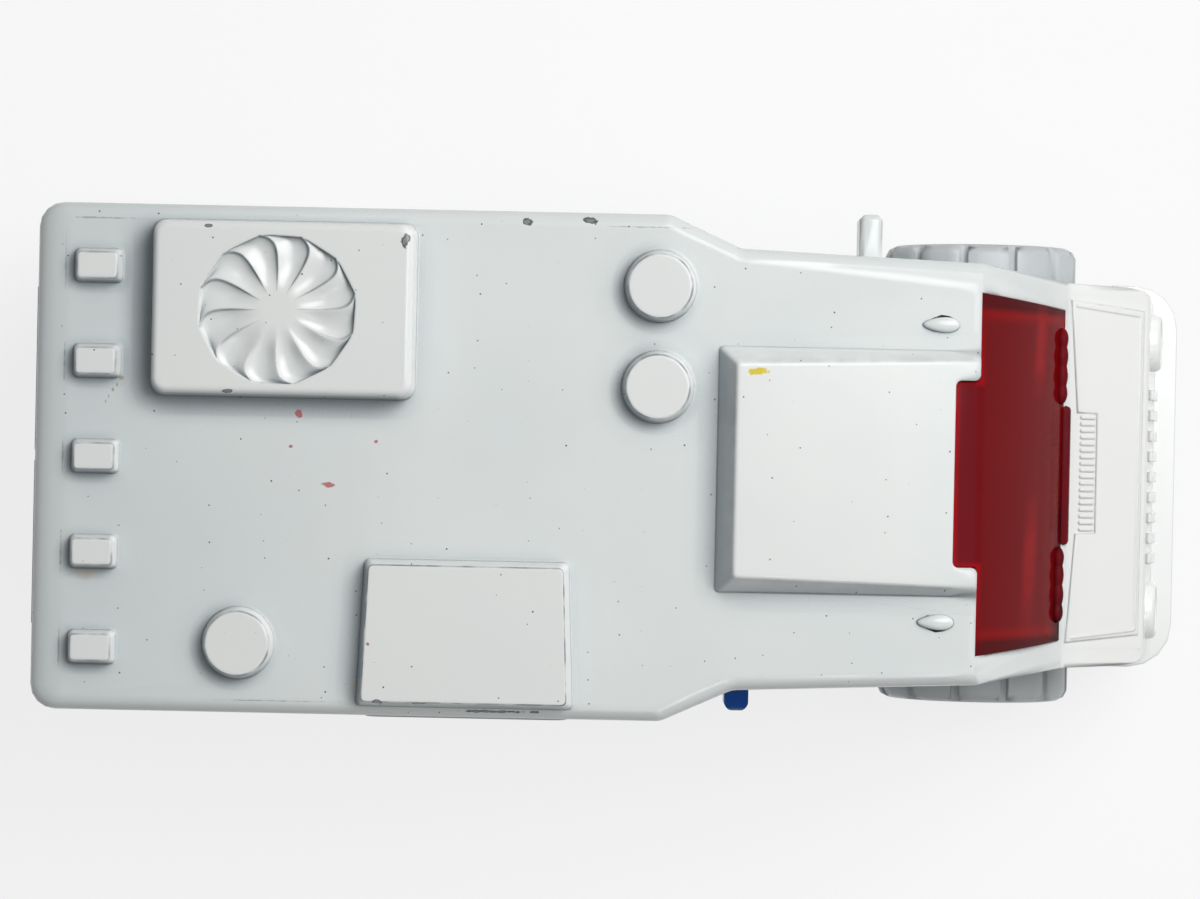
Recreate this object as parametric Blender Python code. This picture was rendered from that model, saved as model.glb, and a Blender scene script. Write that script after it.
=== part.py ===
"""Die-cast ice cream truck: a zinc body shell over a plastic base, with a tinted window moulding,
an interior moulding, two steel axles and four wheels that turn. Metres, +X forward, +Y left, +Z up.
The origin is on the ground, under the middle of the truck."""

import math

import bmesh
import bpy
from mathutils import Matrix, Vector

MM = 0.001

# Driving dimensions: overall form
BODY_LENGTH = 77.0 * MM
BOX_WIDTH = 32.8 * MM
ROOF_Z = 34.0 * MM
SILL_Z = 7.0 * MM
WALL = 1.2 * MM
SEAT_GAP = 0.3 * MM

# Plan stations, each measured from the rear or the front face
BOX_CORNER_RADIUS = 1.6 * MM
SHOULDER_FROM_FRONT = 35.9 * MM
SHOULDER_LENGTH = 4.6 * MM
CAB_WIDTH = 28.6 * MM
COWL_WIDTH = 26.0 * MM
NOSE_WIDTH = 25.6 * MM
NOSE_CORNER_RADIUS = 3.0 * MM

# Side profile stations, measured from the front face
ROOF_END_FROM_FRONT = 15.7 * MM
COWL_FROM_FRONT = 8.7 * MM
COWL_Z = 20.8 * MM
HOOD_END_FROM_FRONT = 2.9 * MM
HOOD_END_Z = 18.2 * MM
NOSE_FROM_FRONT = 1.5 * MM
ROOF_EDGE_RADIUS = 1.0 * MM
ROOF_EDGE_STEPS = 4
REAR_EDGE_STRETCH = 1.1
PILLAR_EDGE_RADIUS = 0.6 * MM
PILLAR_EDGE_STEPS = 2
HOOD_EDGE_RADIUS = 1.2 * MM
COWL_RADIUS = 0.6 * MM

# Front bumper, headlamps and grille
BUMPER_TOP_Z = 10.6 * MM
BUMPER_DEPTH = 4.5 * MM
HEADLAMP_RADIUS = 1.75 * MM
HEADLAMP_Y = 9.2 * MM
HEADLAMP_Z = 14.6 * MM
HEADLAMP_PROUD = 0.55 * MM
GRILLE_BARS = 9
GRILLE_PITCH = 1.4 * MM
GRILLE_BAR_WIDTH = 0.7 * MM
GRILLE_BAR_HEIGHT = 4.6 * MM
GRILLE_PROUD = 0.35 * MM

# Roof castings
CASTING_ROUND = 0.3 * MM
COOLER_LENGTH = 16.6 * MM
COOLER_WIDTH = 11.4 * MM
COOLER_HEIGHT = 2.2 * MM
COOLER_FROM_REAR = 16.3 * MM
COOLER_Y = 9.7 * MM
COOLER_DRAFT = 0.55 * MM
COOLER_ROUND = 0.5 * MM
FAN_RADIUS = 5.05 * MM
FAN_BLADES = 12
FAN_DEPTH = 0.75 * MM
FAN_FLUSH_DEPTH = 0.08 * MM
FAN_STEEP_SHARE = 0.16
FAN_SWEEP = math.radians(14)
FAN_RING_SHARES = (0.22, 0.5, 0.8, 1.0)
HATCH_LENGTH = 13.2 * MM
HATCH_WIDTH = 9.4 * MM
HATCH_HEIGHT = 1.3 * MM
HATCH_DRAFT = 0.35 * MM
HATCH_FLARE = 0.4 * MM
SERVING_FROM_REAR = 28.4 * MM
MARKER_COUNT = 5
MARKER_PITCH = 6.15 * MM
MARKER_LENGTH = 2.9 * MM
MARKER_WIDTH = 2.1 * MM
MARKER_HEIGHT = 1.0 * MM
MARKER_DRAFT = 0.25 * MM
MARKER_FROM_REAR = 4.3 * MM
VENT_RADIUS = 2.35 * MM
VENT_TOP_RADIUS = 2.1 * MM
VENT_HEIGHT = 1.15 * MM
VENT_SIDES = 24
FRONT_VENT_FROM_SHOULDER = 0.6 * MM
FRONT_VENT_Y = (11.6 * MM, 5.1 * MM)
REAR_VENT_FROM_REAR = 13.9 * MM
REAR_VENT_Y = -11.7 * MM
CAB_PANEL_WIDTH = 15.0 * MM
CAB_PANEL_REAR_HEIGHT = 1.9 * MM
CAB_PANEL_FRONT_HEIGHT = 0.35 * MM
CAB_PANEL_FROM_SHOULDER = 3.3 * MM
CAB_PANEL_DRAFT = 1.1 * MM
LAMP_BUMP_LENGTH = 2.2 * MM
LAMP_BUMP_WIDTH = 1.3 * MM
LAMP_BUMP_HEIGHT = 0.6 * MM
LAMP_BUMP_BEHIND_ROOF_END = 2.6 * MM
LAMP_BUMP_Y = 9.6 * MM

# Hood plate and its cowl grille
HOOD_PLATE_WIDTH = 22.8 * MM
HOOD_PLATE_PROUD = 0.3 * MM
HOOD_PLATE_MARGIN = 0.35 * MM
COWL_GRILLE_LENGTH = 1.3 * MM
COWL_GRILLE_WIDTH = 8.0 * MM
COWL_GRILLE_DEPTH = 0.35 * MM
COWL_GRILLE_SETBACK = 0.9 * MM

# Openings in the casting
SCREEN_TOP_WIDTH = 23.5 * MM
SCREEN_LOW_WIDTH = 22.3 * MM
SCREEN_NOTCH_WIDTH = 12.0 * MM
SCREEN_NOTCH_DEPTH = 1.6 * MM
SCREEN_LOW_MARGIN = 0.3 * MM
DOOR_WINDOW_LENGTH = 5.0 * MM
DOOR_WINDOW_HEIGHT = 8.6 * MM
DOOR_WINDOW_LOW_Z = 21.6 * MM
DOOR_WINDOW_FROM_SHOULDER = 6.9 * MM
DOOR_PILLAR = 2.7 * MM
SCREEN_PILLAR = 4.0 * MM
WINDOW_CORNER_RADIUS = 1.0 * MM
SERVING_LENGTH = 11.6 * MM
SERVING_LOW_Z = 16.6 * MM
SERVING_HEIGHT = 12.2 * MM
SERVING_FRAME = 0.8 * MM
SERVING_FRAME_PROUD = 0.3 * MM
ARCH_CLEARANCE = 0.9 * MM

# Mirror, rear doors and tail lamps, cast with the body
MIRROR_THICKNESS = 1.5 * MM
MIRROR_HEIGHT = 3.6 * MM
MIRROR_REACH = 0.5 * MM
MIRROR_LOW_Z = 25.6 * MM
REAR_DOOR_WIDTH = 10.6 * MM
REAR_DOOR_LOW_Z = 10.2 * MM
REAR_DOOR_TOP_Z = 31.0 * MM
REAR_DOOR_GAP = 0.7 * MM
REAR_DOOR_PROUD = 0.3 * MM
TAIL_LAMP_RADIUS = 1.2 * MM
TAIL_LAMP_Y = 13.6 * MM
TAIL_LAMP_Z = 12.0 * MM

# Posts that hang from the roof, and the rivets in them
POST_RADIUS = 1.9 * MM
FRONT_POST_BEHIND_SHOULDER_END = 3.9 * MM
REAR_POST_FROM_REAR = 7.2 * MM
RIVET_RADIUS = 0.8 * MM
RIVET_DEPTH = 4.0 * MM
RIVET_HEAD_RADIUS = 1.9 * MM
RIVET_HEAD_HEIGHT = 0.7 * MM
RIVET_CLEARANCE = 0.25 * MM

# Wheels and axles
TYRE_RADIUS = 6.7 * MM
TYRE_WIDTH = 5.0 * MM
TYRE_BORE = 4.3 * MM
TYRE_SHOULDER = 0.7 * MM
TYRE_STEPS = 36
WHEEL_INSET = 0.5 * MM
FRONT_AXLE_FROM_FRONT = 13.5 * MM
REAR_AXLE_FROM_REAR = 17.5 * MM
CLEATS = 12
CLEAT_GROOVE = 0.65 * MM
CLEAT_DEPTH = 0.5 * MM
HUB_DISH = 1.1 * MM
HUB_WEB = 1.1 * MM
HUB_RIM = 0.7 * MM
HUB_BOSS_RADIUS = 1.75 * MM
HUB_HOLES = 6
HUB_HOLE_RADIUS = 0.42 * MM
HUB_STEPS = 24
AXLE_RADIUS = 0.75 * MM
AXLE_CLEARANCE = 0.2 * MM
AXLE_HEAD_RADIUS = 1.3 * MM
AXLE_HEAD = 0.5 * MM
AXLE_SIDES = 16
AXLE_SHOULDER_GAP = 0.35 * MM

# Base plate and the moulded relief under it
BASE_THICKNESS = 1.9 * MM
BASE_INSET = 0.5 * MM
BASE_WHEEL_CLEARANCE = 0.9 * MM
RELIEF_DEPTH = 0.9 * MM
RAIL_WIDTH = 1.6 * MM
RAIL_Y = 5.6 * MM
TUNNEL_RADIUS = 1.3 * MM
AXLE_CASE_RADIUS = 2.6 * MM

# Interior moulding
FLOOR_ABOVE_TYRE = 1.1 * MM
FLOOR_THICKNESS = 1.1 * MM
LEG_SIZE = 3.2 * MM
LEG_Y = 6.0 * MM
BULKHEAD_THICKNESS = 1.6 * MM
BULKHEAD_TOP_Z = 28.4 * MM
TAB_FROM_SHOULDER_END = 0.5 * MM
TAB_HEIGHT = 3.2 * MM
TAB_LOW_Z = 23.6 * MM
TAB_REACH = 1.7 * MM
COUNTER_THICKNESS = 1.2 * MM
COUNTER_REACH = 0.5 * MM
COUNTER_DEPTH = 5.4 * MM
CHEST_LENGTH = 24.0 * MM
CHEST_DEPTH = 7.0 * MM
CHEST_TOP_Z = 22.0 * MM
CHEST_FROM_REAR = 24.0 * MM
CHEST_LIDS = 3
CHEST_LID_PROUD = 0.5 * MM
SEAT_WIDTH = 7.0 * MM
SEAT_LENGTH = 6.0 * MM
SEAT_HEIGHT = 2.6 * MM
SEAT_BACK_HEIGHT = 7.4 * MM
SEAT_BACK_THICKNESS = 1.6 * MM
SEAT_Y = 5.6 * MM
SEAT_AHEAD_OF_BULKHEAD = 2.4 * MM
DASH_LENGTH = 2.6 * MM
DASH_WIDTH = 20.0 * MM
DASH_TOP_Z = 20.2 * MM
DASH_FROM_FRONT = 16.0 * MM
STEERING_RADIUS = 2.3 * MM
STEERING_RIM = 0.42 * MM
STEERING_TILT = math.radians(55)

# Window moulding
GLASS = 0.9 * MM
GLASS_LOW_Z = 19.8 * MM
GLASS_BEHIND_WINDOW = 1.0 * MM
PANE_GAP = 0.2 * MM
PANE_DEPTH = 0.25 * MM

# Stations worked out from the driving dimensions
REAR_X = -BODY_LENGTH / 2
FRONT_X = BODY_LENGTH / 2
REAR_WALL_X = REAR_X + REAR_DOOR_PROUD
BOX_HALF = BOX_WIDTH / 2
SHOULDER_X = FRONT_X - SHOULDER_FROM_FRONT
SHOULDER_END_X = SHOULDER_X + SHOULDER_LENGTH
ROOF_END_X = FRONT_X - ROOF_END_FROM_FRONT
COWL_X = FRONT_X - COWL_FROM_FRONT
HOOD_END_X = FRONT_X - HOOD_END_FROM_FRONT
NOSE_X = FRONT_X - NOSE_FROM_FRONT
SERVING_X = REAR_X + SERVING_FROM_REAR
AXLE_Z = TYRE_RADIUS * math.cos(math.pi / TYRE_STEPS)
AXLE_X = {"front": FRONT_X - FRONT_AXLE_FROM_FRONT, "rear": REAR_X + REAR_AXLE_FROM_REAR}
WHEEL_OUTER_Y = BOX_HALF - WHEEL_INSET
WHEEL_INNER_Y = WHEEL_OUTER_Y - TYRE_WIDTH
FLOOR_Z = 2 * TYRE_RADIUS + FLOOR_ABOVE_TYRE
FLOOR_TOP_Z = FLOOR_Z + FLOOR_THICKNESS
BASE_TOP_Z = SILL_Z - SEAT_GAP
BASE_BOTTOM_Z = BASE_TOP_Z - BASE_THICKNESS
TAB_X = SHOULDER_END_X + TAB_FROM_SHOULDER_END
POST_X = {"front": SHOULDER_END_X - FRONT_POST_BEHIND_SHOULDER_END,
          "rear": REAR_X + REAR_POST_FROM_REAR}
POST_LOW_Z = BASE_TOP_Z + SEAT_GAP
POST_BORE = RIVET_RADIUS + RIVET_CLEARANCE
INSIDE = WALL + SEAT_GAP
FAR = 2 * BODY_LENGTH
SINK = 0.5 * WALL

WHITE_ENAMEL = ("white_enamel", (0.80, 0.82, 0.82), 0.22, 0.0)
RED_GLAZING = ("red_glazing", (0.30, 0.008, 0.012), 0.08, 0.0)
BLUE_PLASTIC = ("blue_plastic", (0.004, 0.055, 0.25), 0.25, 0.0)
WHITE_PLASTIC = ("white_plastic", (0.66, 0.68, 0.68), 0.4, 0.0)
BRIGHT_STEEL = ("bright_steel", (0.55, 0.55, 0.56), 0.3, 1.0)


# Scene, objects and materials

def clear_scene():
    for old in list(bpy.data.objects):
        bpy.data.objects.remove(old)


def new_collection(name, parent=None):
    made = bpy.data.collections.new(name)
    (parent or bpy.context.scene.collection).children.link(made)
    return made


def paint(obj, finish):
    name, colour, roughness, metallic = finish
    made = bpy.data.materials.get(name) or bpy.data.materials.new(name)
    made.use_nodes = True
    shader = made.node_tree.nodes["Principled BSDF"]
    shader.inputs["Base Color"].default_value = (*colour, 1.0)
    shader.inputs["Roughness"].default_value = roughness
    shader.inputs["Metallic"].default_value = metallic
    obj.data.materials.clear()
    obj.data.materials.append(made)


def object_from(bm, name, collection):
    mesh = bpy.data.meshes.new(name)
    bmesh.ops.recalc_face_normals(bm, faces=bm.faces)
    bm.to_mesh(mesh)
    bm.free()
    obj = bpy.data.objects.new(name, mesh)
    collection.objects.link(obj)
    return obj


def cutter(obj):
    """Marks an object as a tool that shapes another piece."""
    obj.hide_render = True
    obj.display_type = "WIRE"
    return obj


def boolean(obj, other, operation):
    step = obj.modifiers.new(other.name, "BOOLEAN")
    step.operation = operation
    step.object = other
    return obj


def boolean_all(obj, group, operation):
    """Joins or cuts with every tool of a group in one step."""
    step = obj.modifiers.new(group.name, "BOOLEAN")
    step.operation = operation
    step.operand_type = "COLLECTION"
    step.collection = group
    return obj


def shade_round(obj, angle=math.radians(35)):
    obj.data.shade_smooth()
    obj.data.set_sharp_from_angle(angle=angle)


# Outlines

def rounded_outline(corners, steps=4):
    """Points round a closed outline, each corner (x, y, radius) turned into an arc."""
    points = []
    for i, (x, y, radius) in enumerate(corners):
        here = Vector((x, y))
        before = (Vector(corners[i - 1][:2]) - here).normalized()
        after = (Vector(corners[(i + 1) % len(corners)][:2]) - here).normalized()
        if radius < 0.01 * MM:
            points.append(here)
            continue
        half = before.angle(after) / 2
        centre = here + (before + after).normalized() * radius / math.sin(half)
        start = here + before * radius / math.tan(half) - centre
        sweep = (math.pi - 2 * half) * (1 if before.cross(after) < 0 else -1)
        for k in range(steps + 1):
            points.append(centre + Matrix.Rotation(sweep * k / steps, 2) @ start)
    return points


def inset_corners(corners, distance):
    """The outline's corners, each side moved inwards by one distance; corners run anticlockwise."""
    made = []
    for i, (x, y, radius) in enumerate(corners):
        here = Vector((x, y))
        along_in = (here - Vector(corners[i - 1][:2])).normalized()
        along_out = (Vector(corners[(i + 1) % len(corners)][:2]) - here).normalized()
        normal_in = Vector((-along_in.y, along_in.x))
        normal_out = Vector((-along_out.y, along_out.x))
        shift = (normal_in + normal_out) * distance / (1 + normal_in.dot(normal_out))
        grown = radius + distance if along_in.cross(along_out) < 0 else radius - distance
        made.append((x + shift.x, y + shift.y, grown if radius else 0))
    return made


def body_plan(inset=0.0, rear_pull=0.0):
    right = [
        (REAR_WALL_X + rear_pull, -BOX_HALF, BOX_CORNER_RADIUS),
        (SHOULDER_X, -BOX_HALF, BOX_CORNER_RADIUS),
        (SHOULDER_END_X, -CAB_WIDTH / 2, BOX_CORNER_RADIUS),
        (ROOF_END_X, -CAB_WIDTH / 2 + (CAB_WIDTH - COWL_WIDTH) / 4, 0),
        (COWL_X, -COWL_WIDTH / 2, 0),
        (NOSE_X, -NOSE_WIDTH / 2, NOSE_CORNER_RADIUS),
    ]
    left = [(x, -y, radius) for x, y, radius in reversed(right)]
    return rounded_outline(inset_corners(right + left, inset))


def body_profile(inset=0.0):
    """The nose, hood and windscreen seen from the side; it runs on past the rear, roof and sill."""
    corners = [
        (REAR_X - FAR, SILL_Z - FAR, 0),
        (NOSE_X, SILL_Z - FAR, 0),
        (NOSE_X, BUMPER_TOP_Z, 0),
        (HOOD_END_X, HOOD_END_Z, HOOD_EDGE_RADIUS),
        (COWL_X, COWL_Z, COWL_RADIUS),
        (screen_slope_x(2 * ROOF_Z), 2 * ROOF_Z, 0),
        (REAR_X - FAR, 2 * ROOF_Z, 0),
    ]
    return rounded_outline(inset_corners(corners, inset))


def rounded_box(low_u, low_v, high_u, high_v, radius):
    corners = [(low_u, low_v), (high_u, low_v), (high_u, high_v), (low_u, high_v)]
    return rounded_outline([(u, v, radius) for u, v in corners], steps=3)


# Solids

def prism(name, outline, low, high, collection, axis="Z"):
    """A flat outline given a thickness: in XY from low to high along Z, or in XZ along Y."""
    curve = bpy.data.curves.new(name, "CURVE")
    curve.dimensions = "2D"
    curve.fill_mode = "BOTH"
    curve.extrude = (high - low) / 2
    spline = curve.splines.new("POLY")
    spline.points.add(len(outline) - 1)
    for point, place in zip(spline.points, outline):
        point.co = (place.x, place.y, 0, 1)
    spline.use_cyclic_u = True
    drawn = bpy.data.objects.new(name, curve)
    collection.objects.link(drawn)
    bpy.context.view_layer.update()
    mesh = bpy.data.meshes.new_from_object(drawn.evaluated_get(bpy.context.evaluated_depsgraph_get()))
    bpy.data.objects.remove(drawn)
    bm = bmesh.new()
    bm.from_mesh(mesh)
    bmesh.ops.remove_doubles(bm, verts=bm.verts, dist=0.001 * MM)
    bmesh.ops.dissolve_limit(bm, angle_limit=math.radians(1), verts=bm.verts, edges=bm.edges)
    bmesh.ops.translate(bm, vec=(0, 0, (low + high) / 2), verts=bm.verts)
    if axis == "Y":
        bmesh.ops.rotate(bm, cent=(0, 0, 0), matrix=Matrix.Rotation(math.pi / 2, 3, "X"), verts=bm.verts)
        bmesh.ops.scale(bm, vec=(1, -1, 1), verts=bm.verts)
    return object_from(bm, name, collection)


def add_block(bm, low, high, draft=0.0, turn=None, about=None):
    """A box from one corner to the other; its top is drawn in by the draft on every side."""
    size = Vector(high) - Vector(low)
    middle = (Vector(high) + Vector(low)) / 2
    verts = bmesh.ops.create_cube(bm, size=1.0)["verts"]
    for v in verts:
        inset = draft if v.co.z > 0 else 0.0
        v.co = middle + Vector((
            v.co.x * (size.x - 2 * inset), v.co.y * (size.y - 2 * inset), v.co.z * size.z))
    if turn:
        bmesh.ops.rotate(bm, cent=about or middle, matrix=turn, verts=verts)
    return verts


def add_round(bm, radius, top_radius, low, high, centre, sides, axis="Z"):
    """A cylinder or cone between two stations on one axis; centre holds the other two coordinates."""
    turn = {"Z": Matrix.Identity(4), "X": Matrix.Rotation(math.pi / 2, 4, "Y"),
            "Y": Matrix.Rotation(-math.pi / 2, 4, "X")}[axis]
    mid = (low + high) / 2
    place = {"Z": (centre[0], centre[1], mid), "X": (mid, centre[0], centre[1]),
             "Y": (centre[0], mid, centre[1])}[axis]
    half_side = Matrix.Rotation(math.pi / sides, 4, "Z")
    return bmesh.ops.create_cone(
        bm, cap_ends=True, segments=sides, radius1=radius, radius2=top_radius, depth=high - low,
        matrix=Matrix.Translation(place) @ turn @ half_side)["verts"]


def round_edges(bm, verts, width, segments=1):
    """Rounds the edges of a form above its foot."""
    low = min(v.co.z for v in verts)
    bm.edges.index_update()
    edges = {e for v in verts for e in v.link_edges if max(w.co.z for w in e.verts) > low + 0.01 * MM}
    sharp = [e for e in sorted(edges, key=lambda e: e.index) if e.calc_face_angle(0) > math.radians(35)]
    bmesh.ops.bevel(bm, geom=sharp, offset=width, segments=segments, profile=0.5, affect="EDGES",
                    material=-1)


def rounded_shell(name, low, collection):
    """The body's outside from the sill up, its roof edge rounded all round and longest at the rear."""
    bm = bmesh.new()
    levels = [(0.0, low)]
    for k in range(ROOF_EDGE_STEPS + 1):
        turn = math.pi / 2 * k / ROOF_EDGE_STEPS
        levels.append((ROOF_EDGE_RADIUS * (1 - math.cos(turn)),
                       ROOF_Z - ROOF_EDGE_RADIUS * (1 - math.sin(turn))))
    rings = [[bm.verts.new((p.x, p.y, z)) for p in body_plan(inset, inset * REAR_EDGE_STRETCH)]
             for inset, z in levels]
    for lower, upper in zip(rings, rings[1:]):
        for i in range(len(lower)):
            bm.faces.new((lower[i - 1], lower[i], upper[i], upper[i - 1]))
    bm.faces.new(rings[0])
    bm.faces.new(rings[-1])
    return object_from(bm, name, collection)


def turned(name, profile, steps, collection, start=0.0):
    """A profile of (radius, y) points turned about the Y axis; it closes on itself or on the axis."""
    bm = bmesh.new()
    ring = [bm.verts.new((radius, y, 0)) for radius, y in profile]
    edges = [bm.edges.new(pair) for pair in zip(ring, ring[1:])]
    if profile[0][0] > 0:
        edges.append(bm.edges.new((ring[-1], ring[0])))
    bmesh.ops.rotate(bm, cent=(0, 0, 0), matrix=Matrix.Rotation(start, 3, "Y"), verts=ring)
    bmesh.ops.spin(bm, geom=ring + edges, cent=(0, 0, 0), axis=(0, 1, 0), angle=math.tau,
                   steps=steps, use_merge=True)
    bmesh.ops.remove_doubles(bm, verts=bm.verts, dist=0.001 * MM)
    return object_from(bm, name, collection)


def screen_slope_x(z):
    """X of the windscreen's outer face at a height."""
    return COWL_X + (z - COWL_Z) * (ROOF_END_X - COWL_X) / (ROOF_Z - COWL_Z)


# Body casting

def soften_front_edges(body):
    """Rounds the edges where windscreen and hood meet the cab's sides."""
    bpy.context.view_layer.update()
    evaluated = body.evaluated_get(bpy.context.evaluated_depsgraph_get())
    mesh = bpy.data.meshes.new_from_object(evaluated)
    body.modifiers.clear()
    bm = bmesh.new()
    bm.from_mesh(mesh)
    bmesh.ops.dissolve_limit(bm, angle_limit=math.radians(1), verts=bm.verts, edges=bm.edges)
    edges = []
    for edge in bm.edges:
        heights = [v.co.z for v in edge.verts]
        run = abs(edge.verts[0].co.x - edge.verts[1].co.x)
        along_side = min(abs(v.co.y) for v in edge.verts) > NOSE_WIDTH / 2 - NOSE_CORNER_RADIUS
        on_front = min(heights) > BUMPER_TOP_Z and max(heights) < ROOF_Z - ROOF_EDGE_RADIUS / 2
        if along_side and on_front and run > 3 * PILLAR_EDGE_RADIUS and edge.calc_face_angle(0) > 1:
            edges.append(edge)
    bmesh.ops.bevel(bm, geom=edges, offset=PILLAR_EDGE_RADIUS, segments=PILLAR_EDGE_STEPS, profile=0.5,
                    affect="EDGES", material=-1)
    bmesh.ops.remove_doubles(bm, verts=bm.verts, dist=0.001 * MM)
    bm.to_mesh(mesh)
    bm.free()
    body.data = mesh


def cooler_box(bm):
    x = REAR_X + COOLER_FROM_REAR
    verts = add_block(
        bm, (x - COOLER_LENGTH / 2, COOLER_Y - COOLER_WIDTH / 2, ROOF_Z - SINK),
        (x + COOLER_LENGTH / 2, COOLER_Y + COOLER_WIDTH / 2, ROOF_Z + COOLER_HEIGHT), COOLER_DRAFT)
    round_edges(bm, verts, COOLER_ROUND, 3)


def serving_hatch(bm):
    edge_y = -BOX_HALF + ROOF_EDGE_RADIUS
    verts = add_block(
        bm, (SERVING_X - HATCH_LENGTH / 2, edge_y, ROOF_Z - SINK),
        (SERVING_X + HATCH_LENGTH / 2, edge_y + HATCH_WIDTH, ROOF_Z + HATCH_HEIGHT), HATCH_DRAFT)
    for vert in verts:
        flare = 2 * HATCH_FLARE / HATCH_LENGTH * (edge_y + HATCH_WIDTH - vert.co.y) / HATCH_WIDTH
        vert.co.x = SERVING_X + (vert.co.x - SERVING_X) * (1 + flare)
    round_edges(bm, verts, CASTING_ROUND)


def marker_lamps(bm):
    x = REAR_X + MARKER_FROM_REAR
    for i in range(MARKER_COUNT):
        y = (i - (MARKER_COUNT - 1) / 2) * MARKER_PITCH
        verts = add_block(
            bm, (x - MARKER_LENGTH / 2, y - MARKER_WIDTH / 2, ROOF_Z - SINK),
            (x + MARKER_LENGTH / 2, y + MARKER_WIDTH / 2, ROOF_Z + MARKER_HEIGHT), MARKER_DRAFT)
        round_edges(bm, verts, CASTING_ROUND)


def roof_vents(bm):
    places = [(SHOULDER_X - FRONT_VENT_FROM_SHOULDER, y) for y in FRONT_VENT_Y]
    places.append((REAR_X + REAR_VENT_FROM_REAR, REAR_VENT_Y))
    for place in places:
        verts = add_round(bm, VENT_RADIUS, VENT_TOP_RADIUS, ROOF_Z - SINK, ROOF_Z + VENT_HEIGHT,
                          place, VENT_SIDES)
        round_edges(bm, verts, CASTING_ROUND, 2)


def cab_panel(bm):
    """A wedge on the cab roof: high at its back, nearly flush where it meets the windscreen."""
    back = SHOULDER_X + CAB_PANEL_FROM_SHOULDER
    front = ROOF_END_X + WALL
    verts = add_block(bm, (back, -CAB_PANEL_WIDTH / 2, ROOF_Z - SINK),
                      (front, CAB_PANEL_WIDTH / 2, ROOF_Z + CAB_PANEL_REAR_HEIGHT))
    for v in verts:
        if v.co.z > ROOF_Z and v.co.x < (back + front) / 2:
            v.co.x += CAB_PANEL_DRAFT
        if v.co.z > ROOF_Z and v.co.x > (back + front) / 2:
            v.co.z = ROOF_Z + CAB_PANEL_FRONT_HEIGHT
        elif v.co.z > ROOF_Z:
            v.co.y *= 1 - CAB_PANEL_DRAFT / CAB_PANEL_WIDTH
    round_edges(bm, verts, CASTING_ROUND / 2)


def lamp_bumps(bm):
    """Two drop-shaped cab lamps, round in front and drawn out to the back."""
    x = ROOF_END_X - LAMP_BUMP_BEHIND_ROOF_END
    for side in (-1, 1):
        verts = bmesh.ops.create_uvsphere(bm, u_segments=12, v_segments=8, radius=1.0)["verts"]
        for v in verts:
            taper = 1.0 if v.co.x > 0 else 1.0 + 0.45 * v.co.x
            v.co = Vector((x + v.co.x * LAMP_BUMP_LENGTH / 2,
                           side * LAMP_BUMP_Y + v.co.y * taper * LAMP_BUMP_WIDTH / 2,
                           ROOF_Z + v.co.z * LAMP_BUMP_HEIGHT))


def nose_tilt():
    return math.atan2(NOSE_X - HOOD_END_X, HOOD_END_Z - BUMPER_TOP_Z)


def nose_x(z):
    return NOSE_X - (z - BUMPER_TOP_Z) * math.tan(nose_tilt())


def headlamps_and_grille(bm):
    turn = Matrix.Rotation(-nose_tilt(), 4, "Y")
    for side in (-1, 1):
        place = (side * HEADLAMP_Y, HEADLAMP_Z)
        face = nose_x(HEADLAMP_Z)
        verts = add_round(bm, HEADLAMP_RADIUS, HEADLAMP_RADIUS * 0.8, face - SINK,
                          face + HEADLAMP_PROUD, place, 20, "X")
        bmesh.ops.rotate(bm, cent=(face, *place), matrix=turn, verts=verts)
    middle_z = HEADLAMP_Z
    face = nose_x(middle_z)
    for i in range(GRILLE_BARS):
        y = (i - (GRILLE_BARS - 1) / 2) * GRILLE_PITCH
        add_block(bm, (face - SINK, y - GRILLE_BAR_WIDTH / 2, middle_z - GRILLE_BAR_HEIGHT / 2),
                  (face + GRILLE_PROUD, y + GRILLE_BAR_WIDTH / 2, middle_z + GRILLE_BAR_HEIGHT / 2),
                  turn=turn, about=(face, y, middle_z))


def hood_plate(bm):
    length = math.hypot(HOOD_END_X - COWL_X, COWL_Z - HOOD_END_Z) - 2 * HOOD_PLATE_MARGIN
    fall = math.atan2(COWL_Z - HOOD_END_Z, HOOD_END_X - COWL_X)
    middle = Vector(((COWL_X + HOOD_END_X) / 2, 0, (COWL_Z + HOOD_END_Z) / 2))
    half = Vector((length / 2, HOOD_PLATE_WIDTH / 2, 0))
    add_block(bm, middle - half - Vector((0, 0, SINK)), middle + half + Vector((0, 0, HOOD_PLATE_PROUD)),
              HOOD_PLATE_PROUD / 2, Matrix.Rotation(fall, 4, "Y"), middle)


def cowl_grille_cut(bm):
    fall = math.atan2(COWL_Z - HOOD_END_Z, HOOD_END_X - COWL_X)
    along = Vector((math.cos(fall), 0, -math.sin(fall)))
    up = Vector((math.sin(fall), 0, math.cos(fall)))
    edge = Vector((COWL_X, 0, COWL_Z)) + along * (HOOD_PLATE_MARGIN + COWL_GRILLE_SETBACK)
    middle = edge + along * COWL_GRILLE_LENGTH / 2 + up * HOOD_PLATE_PROUD
    half = Vector((COWL_GRILLE_LENGTH / 2, COWL_GRILLE_WIDTH / 2, COWL_GRILLE_DEPTH))
    add_block(bm, middle - half, middle + half, turn=Matrix.Rotation(fall, 4, "Y"))


def rear_doors(bm):
    for side in (-1, 1):
        inner, outer = side * REAR_DOOR_GAP / 2, side * (REAR_DOOR_GAP / 2 + REAR_DOOR_WIDTH)
        add_block(bm, (REAR_X, min(inner, outer), REAR_DOOR_LOW_Z),
                  (REAR_WALL_X + SINK, max(inner, outer), REAR_DOOR_TOP_Z))
        add_round(bm, TAIL_LAMP_RADIUS, TAIL_LAMP_RADIUS, REAR_X, REAR_WALL_X + SINK,
                  (side * TAIL_LAMP_Y, TAIL_LAMP_Z), 14, "X")


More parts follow.
